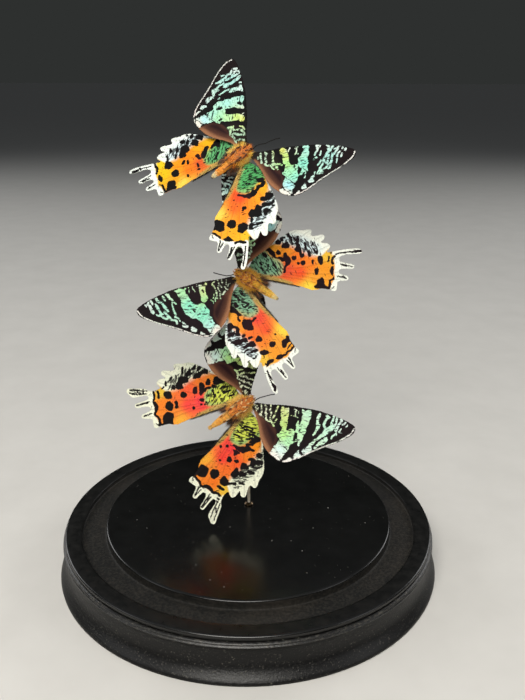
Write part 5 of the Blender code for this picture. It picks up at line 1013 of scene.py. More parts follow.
UPPER_HIND = (
    (0, 0, 3, 6, 4, 10, 3.2, 12, 1.4, 9.6, -1.6, 8, -5, 6.6, -8.6, 4.4, -12, 2, -6), (1.5, 15.8, -23),
    (1.1, 20.4, -21.4), (1.3, 12.4, -27.6), (0.8, 15.4, -14.6), (0.6, 18.4, -16.8), (0.9, 11.6, -19.4),
    (0.7, 20.2, -3.4, 21, -6.4), (0.8, 22, -9, 21.4, -12.2), (0.6, 23.6, -15.4, 22.6, -17.4),
    (0.5, 17.6, -9.4, 17.2, -12), (0.4, 13.6, -2, 13.4, -6, 12, -9.4),
    (0.4, 14.6, -30.6, 18, -30, 21.4, -28.6, 24.6, -26),
)
# (spots in mm, the colours there) of the upper sides' light scales
UPPER_FORE_TINTS = ((8, 4), (16, 6), (20, 6), (27, 12)), ("3E8E5A", "3FA06C", "46AA80", "4E9C74")
UPPER_HIND_TINTS = (((14, -3), (17, -9), (12, -14), (9.6, -22), (12, -24), (20, -24)),
                    ("3FA05C", "4EAA5E", "C08430", "C03A2A", "D06A2C", "B0A040"))


def blend_tints(points, spots, tints):
    """Colour of each point from the nearest colour spots."""
    colours = np.array([linear(tint)[:3] for tint in tints])
    pull = np.stack([1.0 / (np.hypot(*(points - spot).T) + 0.6) ** 3.2 for spot in spots], axis=1)
    return (pull @ colours) / pull.sum(axis=1, keepdims=True)


def zone_weight(points, zone, feather):
    """1 inside a zone and 0 outside, with an edge that fades over a width in mm."""
    ring = rounded(np.asarray(zone, dtype=float).reshape(-1, 2), 0.8)
    away = distance(points, np.vstack((ring, ring[:1])))
    return np.clip(0.5 + np.where(inside(points, ring), away, -away) / feather, 0.0, 1.0)


def overlay(colours, points, zone, tint, feather):
    """Tint the points inside a zone, with an edge that fades over a width in mm."""
    part = zone_weight(points, zone, feather)[:, None]
    return colours * (1 - part) + np.array(linear(tint)[:3]) * part


# Dry scales lie in rows like roof tiles, pearly where they are coloured and velvety where
# dark, so they shine little.  Real rows are much closer; they are drawn 0.5 mm apart so
# that they show.  Short dark dashes about 0.5 mm wide run slantwise over the pale areas.
ROW_STEP = 0.5
WAVE_STEP = 0.314              # spacing of the rings of a wave texture of scale 1
scales, tree, shader = make_material("dry_wing_scales", IOR=1.55, Specular_IOR_Level=0.13)
place = add_node(tree, "ShaderNodeAttribute", attribute_name="wing_place")
light = add_node(tree, "ShaderNodeAttribute", attribute_name="light_scales")
tint = add_node(tree, "ShaderNodeAttribute", attribute_name="tint")
ground = add_node(tree, "ShaderNodeAttribute", attribute_name="ground")
dashes = add_node(tree, "ShaderNodeAttribute", attribute_name="dashes")
tufts = add_node(tree, "ShaderNodeTexNoise", {"Vector": place.outputs["Vector"], "Scale": 2.2, "Detail": 2.0})
ragged = add_node(tree, "ShaderNodeMath", {0: tufts.outputs["Fac"], 1: 0.5}, operation="SUBTRACT")
edge = add_node(tree, "ShaderNodeMath", {0: ragged.outputs[0], 1: 0.75, 2: light.outputs["Fac"]},
                operation="MULTIPLY_ADD")
part = add_node(tree, "ShaderNodeMapRange", {"Value": edge.outputs[0], "From Min": -0.06, "From Max": 0.09},
                interpolation_type="SMOOTHSTEP")
slant = add_node(tree, "ShaderNodeMapping", {"Vector": place.outputs["Vector"], "Scale": (1.9, 0.62, 1.0),
                                             "Rotation": (0.0, 0.0, math.radians(58.0))},
                 vector_type="TEXTURE")
flecks = add_node(tree, "ShaderNodeTexNoise", {"Vector": slant.outputs["Vector"], "Scale": 0.9, "Detail": 1.5,
                                               "Distortion": 0.5})
flecked = add_node(tree, "ShaderNodeMath", {0: dashes.outputs["Fac"], 1: 0.2, 2: flecks.outputs["Fac"]},
                   operation="MULTIPLY_ADD")
bare = add_node(tree, "ShaderNodeMapRange", {"Value": flecked.outputs[0], "From Min": 0.62, "From Max": 0.69,
                                             "To Min": 1.0, "To Max": 0.12}, interpolation_type="SMOOTHSTEP")
shown = add_node(tree, "ShaderNodeMath", {0: part.outputs[0], 1: bare.outputs[0]}, operation="MULTIPLY")
rows = add_node(tree, "ShaderNodeTexWave", {"Vector": place.outputs["Vector"], "Scale": WAVE_STEP / ROW_STEP,
                                            "Distortion": 2.2, "Detail": 2.0, "Detail Scale": 1.6},
                wave_type="RINGS", rings_direction="Z")
mottle = add_node(tree, "ShaderNodeTexNoise", {"Vector": place.outputs["Vector"], "Scale": 1.7, "Detail": 4.0,
                                               "Roughness": 0.75})
uneven = add_node(tree, "ShaderNodeMapRange", {"Value": mottle.outputs["Fac"], "From Min": 0.30,
                                               "From Max": 0.70, "To Min": 0.76, "To Max": 1.12})
ribbed = add_node(tree, "ShaderNodeMapRange", {"Value": rows.outputs["Fac"], "To Min": 0.86, "To Max": 1.06})
tone = add_node(tree, "ShaderNodeMath", {0: uneven.outputs[0], 1: ribbed.outputs[0]}, operation="MULTIPLY")
lit = add_node(tree, "ShaderNodeVectorMath", {0: tint.outputs["Color"], "Scale": tone.outputs[0]},
               operation="SCALE")
bright = add_node(tree, "ShaderNodeVectorMath", {0: lit.outputs[0], 1: (0.95, 0.95, 0.95)},
                  operation="MINIMUM")
dusky = add_node(tree, "ShaderNodeVectorMath", {0: ground.outputs["Color"], "Scale": tone.outputs[0]},
                 operation="SCALE")
mix = add_node(tree, "ShaderNodeMix", {0: shown.outputs[0], 6: dusky.outputs[0], 7: bright.outputs[0]},
               data_type="RGBA")
tree.links.new(mix.outputs[2], shader.inputs["Base Color"])
gloss = add_node(tree, "ShaderNodeMapRange", {"Value": shown.outputs[0], "To Min": 0.75, "To Max": 0.50})
tree.links.new(gloss.outputs[0], shader.inputs["Roughness"])
height = add_node(tree, "ShaderNodeMath", {0: rows.outputs["Fac"], 1: 0.5, 2: mottle.outputs["Fac"]},
                  operation="MULTIPLY_ADD")
relief = add_node(tree, "ShaderNodeBump", {"Height": height.outputs[0], "Strength": 0.3, "Distance": 0.0001})
tree.links.new(relief.outputs["Normal"], shader.inputs["Normal"])


def forewing_look(moth, pattern, flat, where):
    """What a forewing shows at its points: how deep each lies in the light scales, the
    colours of light and dark scales, the share of dashes, and the same for the upper side."""
    light = -depth_outside(where, FORE_MARKS[pattern])
    light = np.minimum(light, depth_outside(where, FORE_GAPS[pattern]))
    light = light + 0.09 * zone_weight(flat, FORE_TIP, 3.0)
    tint = blend_tints(flat, FORE_SPOTS, FORE_TINTS[pattern].split())
    dashes = 0.25 - 0.1 * zone_weight(flat, SILK, 1.0) + 0.35 * zone_weight(flat, FORE_ROOT, 3.0)
    ground = np.tile(linear(DARK_SCALES[moth["name"]])[:3], (len(flat), 1))
    for zone, shade, feather in FORE_GROUND:
        ground = overlay(ground, flat, zone, shade, feather)
    edging = distance(flat, rounded(np.reshape(MARGIN, (-1, 2)), 1.0, closed=False)) - 0.26
    white = np.clip(0.5 - edging / 0.5, 0, 1)[:, None]
    tint = tint * (1 - white) + np.array(linear("F0E6E0")[:3]) * white
    return {"light": np.maximum(light, -edging), "tint": tint, "ground": ground, "dashes": dashes,
            "upper_light": -depth_outside(where, UPPER_FORE),
            "upper_tint": blend_tints(flat, *UPPER_FORE_TINTS),
            "upper_ground": np.tile(linear("0C0B0D")[:3], (len(flat), 1))}


def hindwing_look(moth, pattern, flat, where):
    """What a hindwing shows at its points, given as for a forewing."""
    shades, green, green_rim, white = HIND_TINTS[pattern]
    slots = depth_outside(flat, TAIL_SLOTS[moth["tail"]])
    light = np.minimum(depth_outside(where, HIND_MARKS[pattern]) - 0.14, slots)
    tint = blend_tints(flat, HIND_SPOTS, shades.split())
    tint = overlay(tint, flat, HIND_GREEN, green_rim, 1.2)
    tint = overlay(tint, flat, HIND_ROOT, green, 1.6)
    upper_tint = blend_tints(flat, *UPPER_HIND_TINTS)
    for zone in HIND_WHITE:
        tint = overlay(tint, flat, zone, white, 0.5)
        upper_tint = overlay(upper_tint, flat, zone, "E8EEE4", 0.8)
    tint = overlay(tint, flat, WHITE_DASHES, DASHED_WHITE[moth["tail"]], 3.0)
    tint = overlay(tint, flat, HIND_HAIRY, "B09048", 1.0)
    ground = np.tile(linear(DARK_SCALES[moth["name"]])[:3], (len(flat), 1))
    dashes = 0.8 * zone_weight(flat, HIND_GREEN, 1.0) + 1.05 * zone_weight(flat, WHITE_DASHES, 1.6)
    return {"light": light, "tint": tint, "ground": overlay(ground, flat, HIND_SMOKY, "220A10", 1.5),
            "dashes": dashes + 0.5 * zone_weight(flat, HIND_HAIRY, 1.0) - 0.15,
            "upper_light": depth_outside(where, UPPER_HIND),
            "upper_tint": overlay(upper_tint, flat, HIND_HAIRY, "5E5034", 1.6),
            "upper_ground": np.tile(linear("0B0A0B")[:3], (len(flat), 1))}


def store(mesh, label, kind, rows):
    """Keep a value, vector or colour for each point of a mesh, for its material to read."""
    field = {"FLOAT": "value", "FLOAT_VECTOR": "vector", "FLOAT_COLOR": "color"}[kind]
    if kind == "FLOAT_COLOR":
        rows = np.column_stack((rows, np.ones(len(rows))))
    values = mesh.attributes.new(label, kind, "POINT")
    values.data.foreach_set(field, np.asarray(rows).astype(np.float32).ravel())


SHEET_FRONT, SHEET_BACK = 0.10, -0.14        # the sheet's two faces in mm from the wing's plane
BOW, VEIN_RIDGE = 0.35, 0.10                 # how far the sheet swells, and its veins above it


def build_wing(moth, wing):
    """A thin closed sheet in the place of a wing's node, with its markings as point values."""
    name = f"{moth['name']}_{wing}"
    fore = wing.endswith("forewing")
    side = 1.0 if wing.startswith("left") else -1.0
    flat, faces, rim = FORE_PLAN if fore else HIND_PLANS[moth["tail"]]
    # the markings waver by a tenth of a millimetre, so that no edge is drawn quite smooth
    shift = 0.12 * np.stack((np.sin(flat[:, 1] * 2.1 + len(name)), np.sin(flat[:, 0] * 2.3)), axis=1)
    look = (forewing_look if fore else hindwing_look)(moth, SAME_AS.get(name, name), flat, flat + shift)
    veins = FORE_VEINS if fore else HIND_VEINS
    lines = [rounded(np.reshape(vein, (-1, 2)), 1.5, closed=False) for vein in veins]
    ridge = np.min([distance(flat, line) for line in lines], axis=0)
    # veins darken the light scales by up to 30 %
    tint = look["tint"] * (1 - 0.30 * np.clip(1 - ridge / 0.35, 0, 1))[:, None]
    centre = flat.mean(axis=0)
    reach = np.hypot(*(flat - centre).T) / np.hypot(*(rim - centre).T).max()
    bow = BOW * (1 - reach ** 2) + VEIN_RIDGE * np.clip(1 - ridge / 0.6, 0, 1)
    count = len(flat)
    front = np.column_stack((flat[:, 0] * side, flat[:, 1], bow + SHEET_FRONT))
    back = np.column_stack((flat[:, 0] * side, flat[:, 1], bow + SHEET_BACK))
    if side < 0:
        faces = faces[:, ::-1]
    ring = [int(np.argmin(np.abs(flat - p).sum(axis=1))) for p in rim]
    skirt = [(a, b, b + count, a + count) if side > 0 else (b, a, a + count, b + count)
             for a, b in zip(ring[1:] + ring[:1], ring) if a != b]
    all_faces = faces.tolist() + (faces[:, ::-1] + count).tolist() + skirt
    piece = add_piece(f"{name}_scales", placed(wing_matrix(moth, wing), np.vstack((front, back))), all_faces,
                      (scales,), replaced=(name,))
    # each wing takes its own stretch of the noise, and its upper side another
    spot = np.column_stack((flat, np.full(count, 40.0 * len(bpy.data.meshes))))
    store(piece.data, "light_scales", "FLOAT", np.concatenate((look["light"], look["upper_light"])))
    store(piece.data, "tint", "FLOAT_COLOR", np.vstack((tint, look["upper_tint"])))
    store(piece.data, "ground", "FLOAT_COLOR", np.vstack((look["ground"], look["upper_ground"])))
    store(piece.data, "dashes", "FLOAT", np.concatenate((look["dashes"], np.full(count, 0.1))))
    store(piece.data, "wing_place", "FLOAT_VECTOR", np.vstack((spot, spot + (0, 0, 20))))


for moth in MOTHS:
    for wing in ("left_forewing", "right_forewing", "left_hindwing", "right_hindwing"):
        build_wing(moth, wing)


# The bodies: thorax and abdomen of dried chitin under a thick coat of orange hair, with
# dark bead eyes and thin folded legs.  Real hairs are far finer than these, which are 0.09
# to 0.16 mm thick at their roots so that they show.
BODY_FLATNESS = 0.85
BODY_PROFILE = (
    (0.0, 4.9), (0.8, 4.7), (1.4, 4.1), (1.6, 3.4), (1.7, 2.9), (2.4, 2.2), (2.9, 1.0),
    (3.1, -0.6), (3.1, -2.2), (3.0, -4.0), (2.7, -5.6), (2.2, -6.8), (2.0, -8.0), (2.0, -10.0),
    (1.7, -12.3), (1.2, -14.4), (0.6, -15.8), (0.0, -16.4),
)
LEGS = (
    ((0.5, 1.2, 2.2), (1.2, 2.8, 2.1), (1.3, 4.0, 1.7), (0.8, 5.0, 1.2), (0.4, 5.8, 0.6)),
    ((0.6, -0.6, 2.4), (2.0, 1.2, 2.1), (2.5, -0.4, 2.3), (2.4, -3.0, 2.2), (2.0, -5.4, 2.1)),
    ((0.6, -3.0, 2.4), (1.8, -1.8, 2.6), (1.7, -4.8, 2.6), (1.4, -7.8, 2.3), (1.1, -11.0, 1.9)),
)
COATS = {
    # hair colours of the thorax, its side tufts, the abdomen, the abdomen's end and the legs
    # the palest thorax shade is partly the hair's own colour and partly a painted highlight on the coat
    "top_moth": ("FF8A18 FA780C FFA634 B85810 FFB644", "FFCC48 F4B440 FFE078", "FFA02C F08A1C FFB844",
                 "F4E4B8 E0CC98 CDB478", "4A2410 6A3818 A06A38"),
    "middle_moth": ("FFBC20 FFB014 FFD04C FFA410 FFC438", "F8B840 E09830 FFD060", "FFC844 F0A82C FFDE68",
                    "FFECB0 F8DC90 E8C878", "B06C34 D89C54 7C4622"),
    "bottom_moth": ("F88C28 E8781C FFAA40 B85C14 FFBA50", "F8C050 E8A840 FFDC78", "FFB244 F4962C FFCA60",
                    "F4BE60 E4AA4C CC923C", "B88448 D4B078 74401F"),
}

# Hair: a matt fibre, faintly mottled, with a soft sheen where the light grazes it.
fur, tree, shader = make_material("dried_moth_hair", Roughness=0.62, IOR=1.55, Specular_IOR_Level=0.35,
                                  Sheen_Weight=0.25, Sheen_Roughness=0.4)
tint = add_node(tree, "ShaderNodeAttribute", attribute_name="tint")
place = add_node(tree, "ShaderNodeTexCoord")
mottle = add_node(tree, "ShaderNodeTexNoise", {"Vector": place.outputs["Object"], "Scale": 1200.0,
                                               "Detail": 3.0})
uneven = add_node(tree, "ShaderNodeMapRange", {"Value": mottle.outputs["Fac"], "From Min": 0.3,
                                               "From Max": 0.7, "To Min": 0.82, "To Max": 1.05})
tone = add_node(tree, "ShaderNodeVectorMath", {0: tint.outputs["Color"], "Scale": uneven.outputs[0]},
                operation="SCALE")
tree.links.new(tone.outputs[0], shader.inputs["Base Color"])

# Chitin of the legs: smooth and thin with a dull shine, banded pale and brown.
chitin, tree, shader = make_material("dried_leg_chitin", Roughness=0.48, IOR=1.56, Specular_IOR_Level=0.25)
tint = add_node(tree, "ShaderNodeAttribute", attribute_name="tint")
place = add_node(tree, "ShaderNodeTexCoord")
mottle = add_node(tree, "ShaderNodeTexNoise", {"Vector": place.outputs["Object"], "Scale": 900.0,
                                               "Detail": 2.0})
uneven = add_node(tree, "ShaderNodeMapRange", {"Value": mottle.outputs["Fac"], "From Min": 0.3,
                                               "From Max": 0.7, "To Min": 0.6, "To Max": 1.2})
tone = add_node(tree, "ShaderNodeVectorMath", {0: tint.outputs["Color"], "Scale": uneven.outputs[0]},
                operation="SCALE")
tree.links.new(tone.outputs[0], shader.inputs["Base Color"])
relief = add_node(tree, "ShaderNodeBump", {"Height": mottle.outputs["Fac"], "Strength": 0.2,
                                           "Distance": 0.0001})
tree.links.new(relief.outputs["Normal"], shader.inputs["Normal"])

# The antennae: two threadlike feelers on each moth's head, one folded back behind a wing.
# They keep the solids' shapes.  Like the dried eyes they are brown-black horn, nearly
# smooth, and mottled 0.4 mm across.
horn = mottled("dried_eye_and_antenna_horn", 2500.0, (0.35, 0.7), ("050403", "120D0A"), 0.6, (0.3, 0.0001),
               IOR=1.56, Specular_IOR_Level=0.12)
for moth in MOTHS:
    for side in ("left", "right"):
        refinish(f"{moth['name']}_{side}_antenna", horn)


class Growth:
    """Points, faces, colours, normals and finishes of one piece, in its own millimetres."""

    def __init__(self):
        self.points, self.faces, self.colours, self.normals, self.finishes = [], [], [], [], []
        self.count = 0

    def add(self, points, faces, colours, normals, finish):
        """Add a part; normals of None leave its points' own."""
        self.points.append(points)
        self.colours.append(colours)
        self.normals.append(np.zeros((len(points), 3)) if normals is None else normals)
        self.faces += [tuple(int(i) + self.count for i in face) for face in faces]
        self.finishes += [finish] * len(faces)
        self.count += len(points)

    def show(self, name, matrix, materials, replaced=()):
        """Make the piece, shaded by the normals given and tinted point by point."""
        piece = add_piece(name, placed(matrix, np.vstack(self.points)), self.faces, materials,
                          self.finishes, replaced=replaced)
        normals = np.vstack(self.normals) @ np.array(matrix)[:3, :3].T
        spans = np.linalg.norm(normals, axis=1)[:, None]
        normals = np.where(spans > 0, normals / np.maximum(spans, 1e-9), 0.0)
        piece.data.normals_split_custom_set_from_vertices(normals.tolist())
        store(piece.data, "tint", "FLOAT_COLOR", np.vstack(self.colours))


FUR, CHITIN, HORN = 0, 1, 2    # places of the three materials in a coat


def ring_faces(rings, sides):
    """Four-sided faces between rings of points that follow one another."""
    return [(r * sides + s, r * sides + (s + 1) % sides,
             (r + 1) * sides + (s + 1) % sides, (r + 1) * sides + s)
            for r in range(rings - 1) for s in range(sides)]


def tube(line, radii, sides):
    """Points and faces of a tapered tube along a line, closed at both ends."""
    along = np.gradient(line, axis=0)
    along /= np.linalg.norm(along, axis=1)[:, None]
    first = np.cross(along, (0.13, 0.21, 0.97))
    first /= np.linalg.norm(first, axis=1)[:, None]
    second = np.cross(along, first)
    turns = 2 * np.pi * np.arange(sides) / sides
    ring = np.cos(turns)[None, :, None] * first[:, None] + np.sin(turns)[None, :, None] * second[:, None]
    points = (line[:, None] + ring * np.asarray(radii)[:, None, None]).reshape(-1, 3)
    faces = ring_faces(len(line), sides)
    faces += [tuple(range(sides))[::-1], tuple((len(line) - 1) * sides + s for s in range(sides))]
    return points, faces


BRIGHTEST = 0.92               # the most of any colour in a hair's tint; its mottle adds up to 5 %


def hairs(rng, roots, ways, lengths, radii, tints, curl=0.25, outward=None):
    """Tapered three-sided hairs: each bends a little, with painted shade at its root and painted light
    towards its tip, standing in for the shade that hairs cast on one another.  They take the light as the
    coat's surface does, which faces away from the body's axis."""
    ways = ways / np.linalg.norm(ways, axis=1)[:, None]
    first = np.cross(ways, rng.normal(size=ways.shape))
    first /= np.linalg.norm(first, axis=1)[:, None]
    second = np.cross(ways, first)
    bend = first * (rng.normal(size=(len(roots), 1)) * curl)
    middle = roots + (ways + 0.25 * bend) * lengths[:, None] * 0.55
    tip = roots + (ways + bend) * lengths[:, None]
    points = np.empty((len(roots), 7, 3))
    if outward is None:
        outward = roots * (1, 0, 1) + np.where(roots[:, 2:] > -0.5, 1, -1) * (0, 0, 1.6)
    outward = outward / np.linalg.norm(outward, axis=1)[:, None]
    normals = np.repeat(outward[:, None], 7, axis=1)
    for corner in range(3):
        turn = 2 * np.pi * corner / 3
        out = (math.cos(turn) * first + math.sin(turn) * second) * radii[:, None]
        points[:, corner] = roots + out
        points[:, 3 + corner] = middle + 0.75 * out
        normals[:, (corner, 3 + corner)] += (0.35 * out / radii[:, None])[:, None]
    points[:, 6] = tip
    faces = []
    for start in range(0, 7 * len(roots), 7):
        for a, b in ((0, 1), (1, 2), (2, 0)):
            faces.append((start + a, start + b, start + 3 + b, start + 3 + a))
            faces.append((start + 3 + a, start + 3 + b, start + 6))
    # painted shade at the root, where hairs shade one another, and painted light at the middle and tip
    shade = np.array([0.75] * 3 + [1.4] * 3 + [1.9])        # at the root, the middle and the tip
    colours = tints[:, None] * shade[None, :, None]
    colours *= np.minimum(1.0, BRIGHTEST / colours.max(axis=2, keepdims=True))
    return points.reshape(-1, 3), faces, colours.reshape(-1, 3), normals.reshape(-1, 3)


def pick(rng, shades, count):
    """Random colours from a row of shades."""
    colours = np.array([linear(shade)[:3] for shade in shades.split()])
    return colours[rng.integers(0, len(colours), count)] * rng.uniform(0.8, 1.15, (count, 1))


def body_radius(station):
    """Radius of a body at a station along it, both in mm."""
    radii, stations = zip(*BODY_PROFILE)
    return np.interp(-np.asarray(station), [-s for s in stations], radii)


def on_body(stations, angles, lift=1.0):
    """Points on the body's skin and the way it faces there."""
    radius = body_radius(stations) * lift
    points = np.column_stack((radius * np.cos(angles), stations, BODY_FLATNESS * radius * np.sin(angles)))
    slope = (body_radius(stations + 0.3) - body_radius(stations - 0.3)) / 0.6
    facing = np.column_stack((np.cos(angles), -slope, np.sin(angles)))
    return points, facing / np.linalg.norm(facing, axis=1)[:, None]


def rounded_line(points, step):
    """A smooth open line through 3-D points."""
    points = np.asarray(points, dtype=float)
    flat = [rounded(points[:, (0, 1)], step, closed=False), rounded(points[:, (2, 1)], step, closed=False)]
    if len(flat[0]) == len(flat[1]):
        return np.column_stack((flat[0], flat[1][:, 0]))
    travel = np.concatenate(([0], np.cumsum(np.linalg.norm(np.diff(points, axis=0), axis=1))))
    spots = np.linspace(0, travel[-1], max(8, int(travel[-1] / step)))
    return np.column_stack([np.interp(spots, travel, points[:, axis]) for axis in range(3)])


def body_matrix(moth):
    """World matrix of a moth's body, which sits a little off the middle of its wings."""
    left, forward = moth["body_shift"]
    return moth_matrix(moth) @ Matrix.Translation(Vector((left, forward, 0.0)) * MM)


def grow_skin(coat, abdomen):
    """The skin under the hair: a turned form with the abdomen's rings pressed in."""
    stations = np.concatenate((np.linspace(4.85, -5.6, 34), np.linspace(-5.9, -16.3, 50)))
    sides = 32
    turns = 2 * np.pi * np.arange(sides) / sides
    skin, tone = [], []
    under = np.array(linear("B8641C")[:3])
    pale = np.array(linear(abdomen.split()[0])[:3])
    for station in stations:
        ring = 1.0 - 0.05 * max(0.0, math.cos(2 * math.pi * (station + 6.0) / 1.45)) ** 4 * (station < -6.0)
        slim = 0.97 - 0.20 * min(1.0, max(0.0, (-5.5 - station) / 2.0))
        points, _ = on_body(np.full(sides, station), turns, slim * ring)
        skin.append(points)
        blend = min(1.0, max(0.0, (-5.0 - station) / 3.0))
        shade = (0.45 if ring < 0.98 else 1.0) * (0.12 if station < -15.9 else 1.0)
        tone.append(np.tile((under * (1 - blend) + pale * 0.8 * blend) * shade, (sides, 1)))
    faces = [face[:1] + face[:0:-1] for face in ring_faces(len(stations), sides)]
    faces += [tuple(range(sides)), tuple((len(stations) - 1) * sides + s for s in range(sides))[::-1]]
    coat.add(np.vstack(skin), faces, np.vstack(tone), None, FUR)


# Patches of hair: how many hairs, the stations that they stand between, and the bounds of
# their lengths and of their roots' radii, all in mm.
Patch = namedtuple("Patch", "count stations lengths radii")
THORAX_HAIR = Patch(5200, (-6.2, 3.4), (0.8, 1.9), (0.05, 0.09))
TUFT_HAIR = Patch(900, (-4.6, 2.8), (1.2, 3.0), (0.05, 0.08))
ABDOMEN_HAIR = Patch(2600, (-15.9, -5.0), (0.35, 0.8), (0.05, 0.08))
HEAD_HAIR = Patch(520, (2.6, 4.8), (0.4, 0.9), (0.05, 0.07))
FOLD_HAIR = Patch(1500, (-7.2, -2.6), (2.0, 5.2), (0.05, 0.08))
END_HAIR = {
    # the end of the abdomen is a short dark point, or a long pale tuft
    "slender": (Patch(240, (-16.2, -15.4), (0.3, 0.7), 0.07), "1A100A 3A2414"),
    "broad": (Patch(240, (-16.2, -15.4), (0.9, 2.0), 0.07), "C89848 E8C070 7A5020"),
}
BACKWARD = np.array((0, -1.0, 0))


def strew(rng, patch):
    """Random stations of a patch and random angles round the body."""
    return rng.uniform(*patch.stations, patch.count), rng.uniform(0, 2 * np.pi, patch.count)


def add_hairs(coat, rng, patch, roots, ways, tints, shorten=1.0, curl=0.25):
    """Add hairs of a patch; tints are an array, or a row of shades to pick from."""
    lengths = rng.uniform(*patch.lengths, len(roots)) * shorten
    radii = rng.uniform(*patch.radii, len(roots))
    if isinstance(tints, str):
        tints = pick(rng, tints, len(roots))
    coat.add(*hairs(rng, roots, ways, lengths, radii, tints, curl), FUR)


def grow_thorax(coat, rng, shades, leg_lines, dark_share):
    """The thorax's coat, laid back, with stray dark hairs that are partly painted shade for the gaps between
    tufts; it is thin and short at the legs.
    """
    spots, angles = strew(rng, THORAX_HAIR)
    roots, facing = on_body(spots, angles, 0.96)
    crowd = np.vstack(leg_lines)
    near = np.array([np.sqrt(((crowd - root) ** 2).sum(axis=1).min()) for root in roots])
    keep = (near > 0.75) | (rng.random(THORAX_HAIR.count) < 0.22)
    roots, facing, near, count = roots[keep], facing[keep], near[keep], int(keep.sum())
    ways = 0.38 * facing + 0.80 * BACKWARD + 0.26 * rng.normal(size=(count, 3))
    tints = pick(rng, shades, count)
    # stray dark hairs: partly the coat's own mix of tones, partly painted shade for the shaded gaps between
    # tufts
    dark = rng.random(count) < dark_share
    tints[dark] = pick(rng, "6A2E0A 4A2008", int(dark.sum()))
    add_hairs(coat, rng, THORAX_HAIR, roots, ways, tints, np.clip(near / 1.6, 0.45, 1.0))


def grow_tufts(coat, rng, shades):
    """Longer hair on both sides of the thorax, which fans out over the wing roots."""
    count = TUFT_HAIR.count
    spots = rng.uniform(*TUFT_HAIR.stations, count)
    angles = np.where(rng.random(count) < 0.5, 0.0, np.pi) + rng.normal(size=count) * 0.35
    roots, facing = on_body(spots, angles, 0.94)
    fan = np.column_stack((0 * spots, 0.10 * spots - 0.05, 0 * spots))
    ways = facing * 0.9 + fan + 0.25 * rng.normal(size=(count, 3))
    add_hairs(coat, rng, TUFT_HAIR, roots, ways, shades)


def grow_abdomen(coat, rng, shades, end_shades):
    """The abdomen's short coat: pale at its end, dark on its back, and darker where it begins, as painted
    shade in the waist behind the thorax.
    """
    count = ABDOMEN_HAIR.count
    spots, angles = strew(rng, ABDOMEN_HAIR)
    roots, facing = on_body(spots, angles, 0.77 + 0.18 * np.clip((spots + 7.5) / 2.0, 0, 1))
    ways = 0.22 * facing + BACKWARD + 0.13 * rng.normal(size=(count, 3))
    tints = pick(rng, shades, count)
    last = rng.random(count) < np.clip((-12.8 - spots) / 1.4, 0, 1)
    tints[last] = pick(rng, end_shades, int(last.sum()))
    back = (np.sin(angles) < -0.1) & (rng.random(count) < 0.8)
    tints[back] *= 0.28
    # painted shade in the waist where the abdomen meets the thorax
    tints *= (1.0 - 0.6 * np.exp(-((spots + 6.6) / 0.9) ** 2))[:, None]
    add_hairs(coat, rng, ABDOMEN_HAIR, roots, ways, tints, curl=0.15)


def grow_end(coat, rng, patch, shades):
    """The hair that ends the abdomen."""
    roots, facing = on_body(*strew(rng, patch), 0.8)
    coat.add(*hairs(rng, roots, 0.2 * facing + BACKWARD, rng.uniform(*patch.lengths, patch.count),
                    np.full(patch.count, patch.radii), pick(rng, shades, patch.count)), FUR)


def grow_head(coat, rng, shades):
    """Short hair that stands out from the head."""
    roots, facing = on_body(*strew(rng, HEAD_HAIR), 0.97)
    ways = 0.8 * facing + (0, 0.15, 0) + 0.3 * rng.normal(size=(HEAD_HAIR.count, 3))
    add_hairs(coat, rng, HEAD_HAIR, roots, ways, shades + " 5A3418")


def grow_folds(coat, rng):
    """Long dark hair in the folds beside the abdomen, behind the hindwings' roots; its dark is partly the
    hair's own colour and partly painted shade in the folds.
    """
    count = FOLD_HAIR.count
    spots = rng.uniform(*FOLD_HAIR.stations, count)
    turn = np.where(rng.random(count) < 0.62, -0.4, np.pi + 0.4) + rng.normal(size=count) * 0.3
    roots, facing = on_body(spots, turn, 0.9)
    ways = 0.55 * facing + BACKWARD + 0.24 * rng.normal(size=(count, 3))
    # near-black browns: partly the hair's own colour, partly painted shade in the folds
    add_hairs(coat, rng, FOLD_HAIR, roots, ways, "24140E 3E2418 140C0A 6A4024 8A5A30")


EYE_PLACE, EYE_RADIUS, EYE_LENGTH = (1.02, 3.85, 0.45), 0.66, 0.70
# A leg's radius along it: thigh, knee, shin, ankle and foot, in mm.
LEG_STATIONS = (0, 0.22, 0.30, 0.34, 0.60, 0.66, 0.70, 1.0)
LEG_RADII = (0.30, 0.34, 0.28, 0.32, 0.26, 0.28, 0.20, 0.15)
LEG_SIDES, LEG_HAIRS = 8, 70


def grow_eye(coat, side):
    """A bead eye, a little longer than it is wide."""
    sides, rows = 16, []
    turn = 2 * np.pi * np.arange(sides) / sides
    for angle in np.radians(np.linspace(-90, 90, 13)):
        rows.append(np.column_stack((EYE_RADIUS * np.cos(angle) * np.cos(turn),
                                     EYE_LENGTH * np.cos(angle) * np.sin(turn),
                                     np.full(sides, EYE_RADIUS * np.sin(angle)))))
    ball = np.vstack(rows) + (side * EYE_PLACE[0], EYE_PLACE[1], EYE_PLACE[2])
    coat.add(ball, ring_faces(len(rows), sides), np.full((len(ball), 3), 0.01), None, HORN)


def grow_leg(coat, rng, line, shades, first_band):
    """A jointed leg in bands of three colours, with fine hairs along it."""
    part = np.linspace(0, 1, len(line))
    points, faces = tube(line, np.interp(part, LEG_STATIONS, LEG_RADII), LEG_SIDES)
    band = np.array([shades[(int(p * 7) + first_band) % 3] for p in part])
    coat.add(points, faces, np.repeat(band, LEG_SIDES, axis=0), None, CHITIN)
    at = rng.integers(0, len(line), LEG_HAIRS)
    ways = rng.normal(size=(LEG_HAIRS, 3)) * 0.6 + (0, -0.3, 0.3)
    coat.add(*hairs(rng, line[at], ways, rng.uniform(0.35, 0.7, LEG_HAIRS), np.full(LEG_HAIRS, 0.045),
                    band[at] * 0.9), FUR)


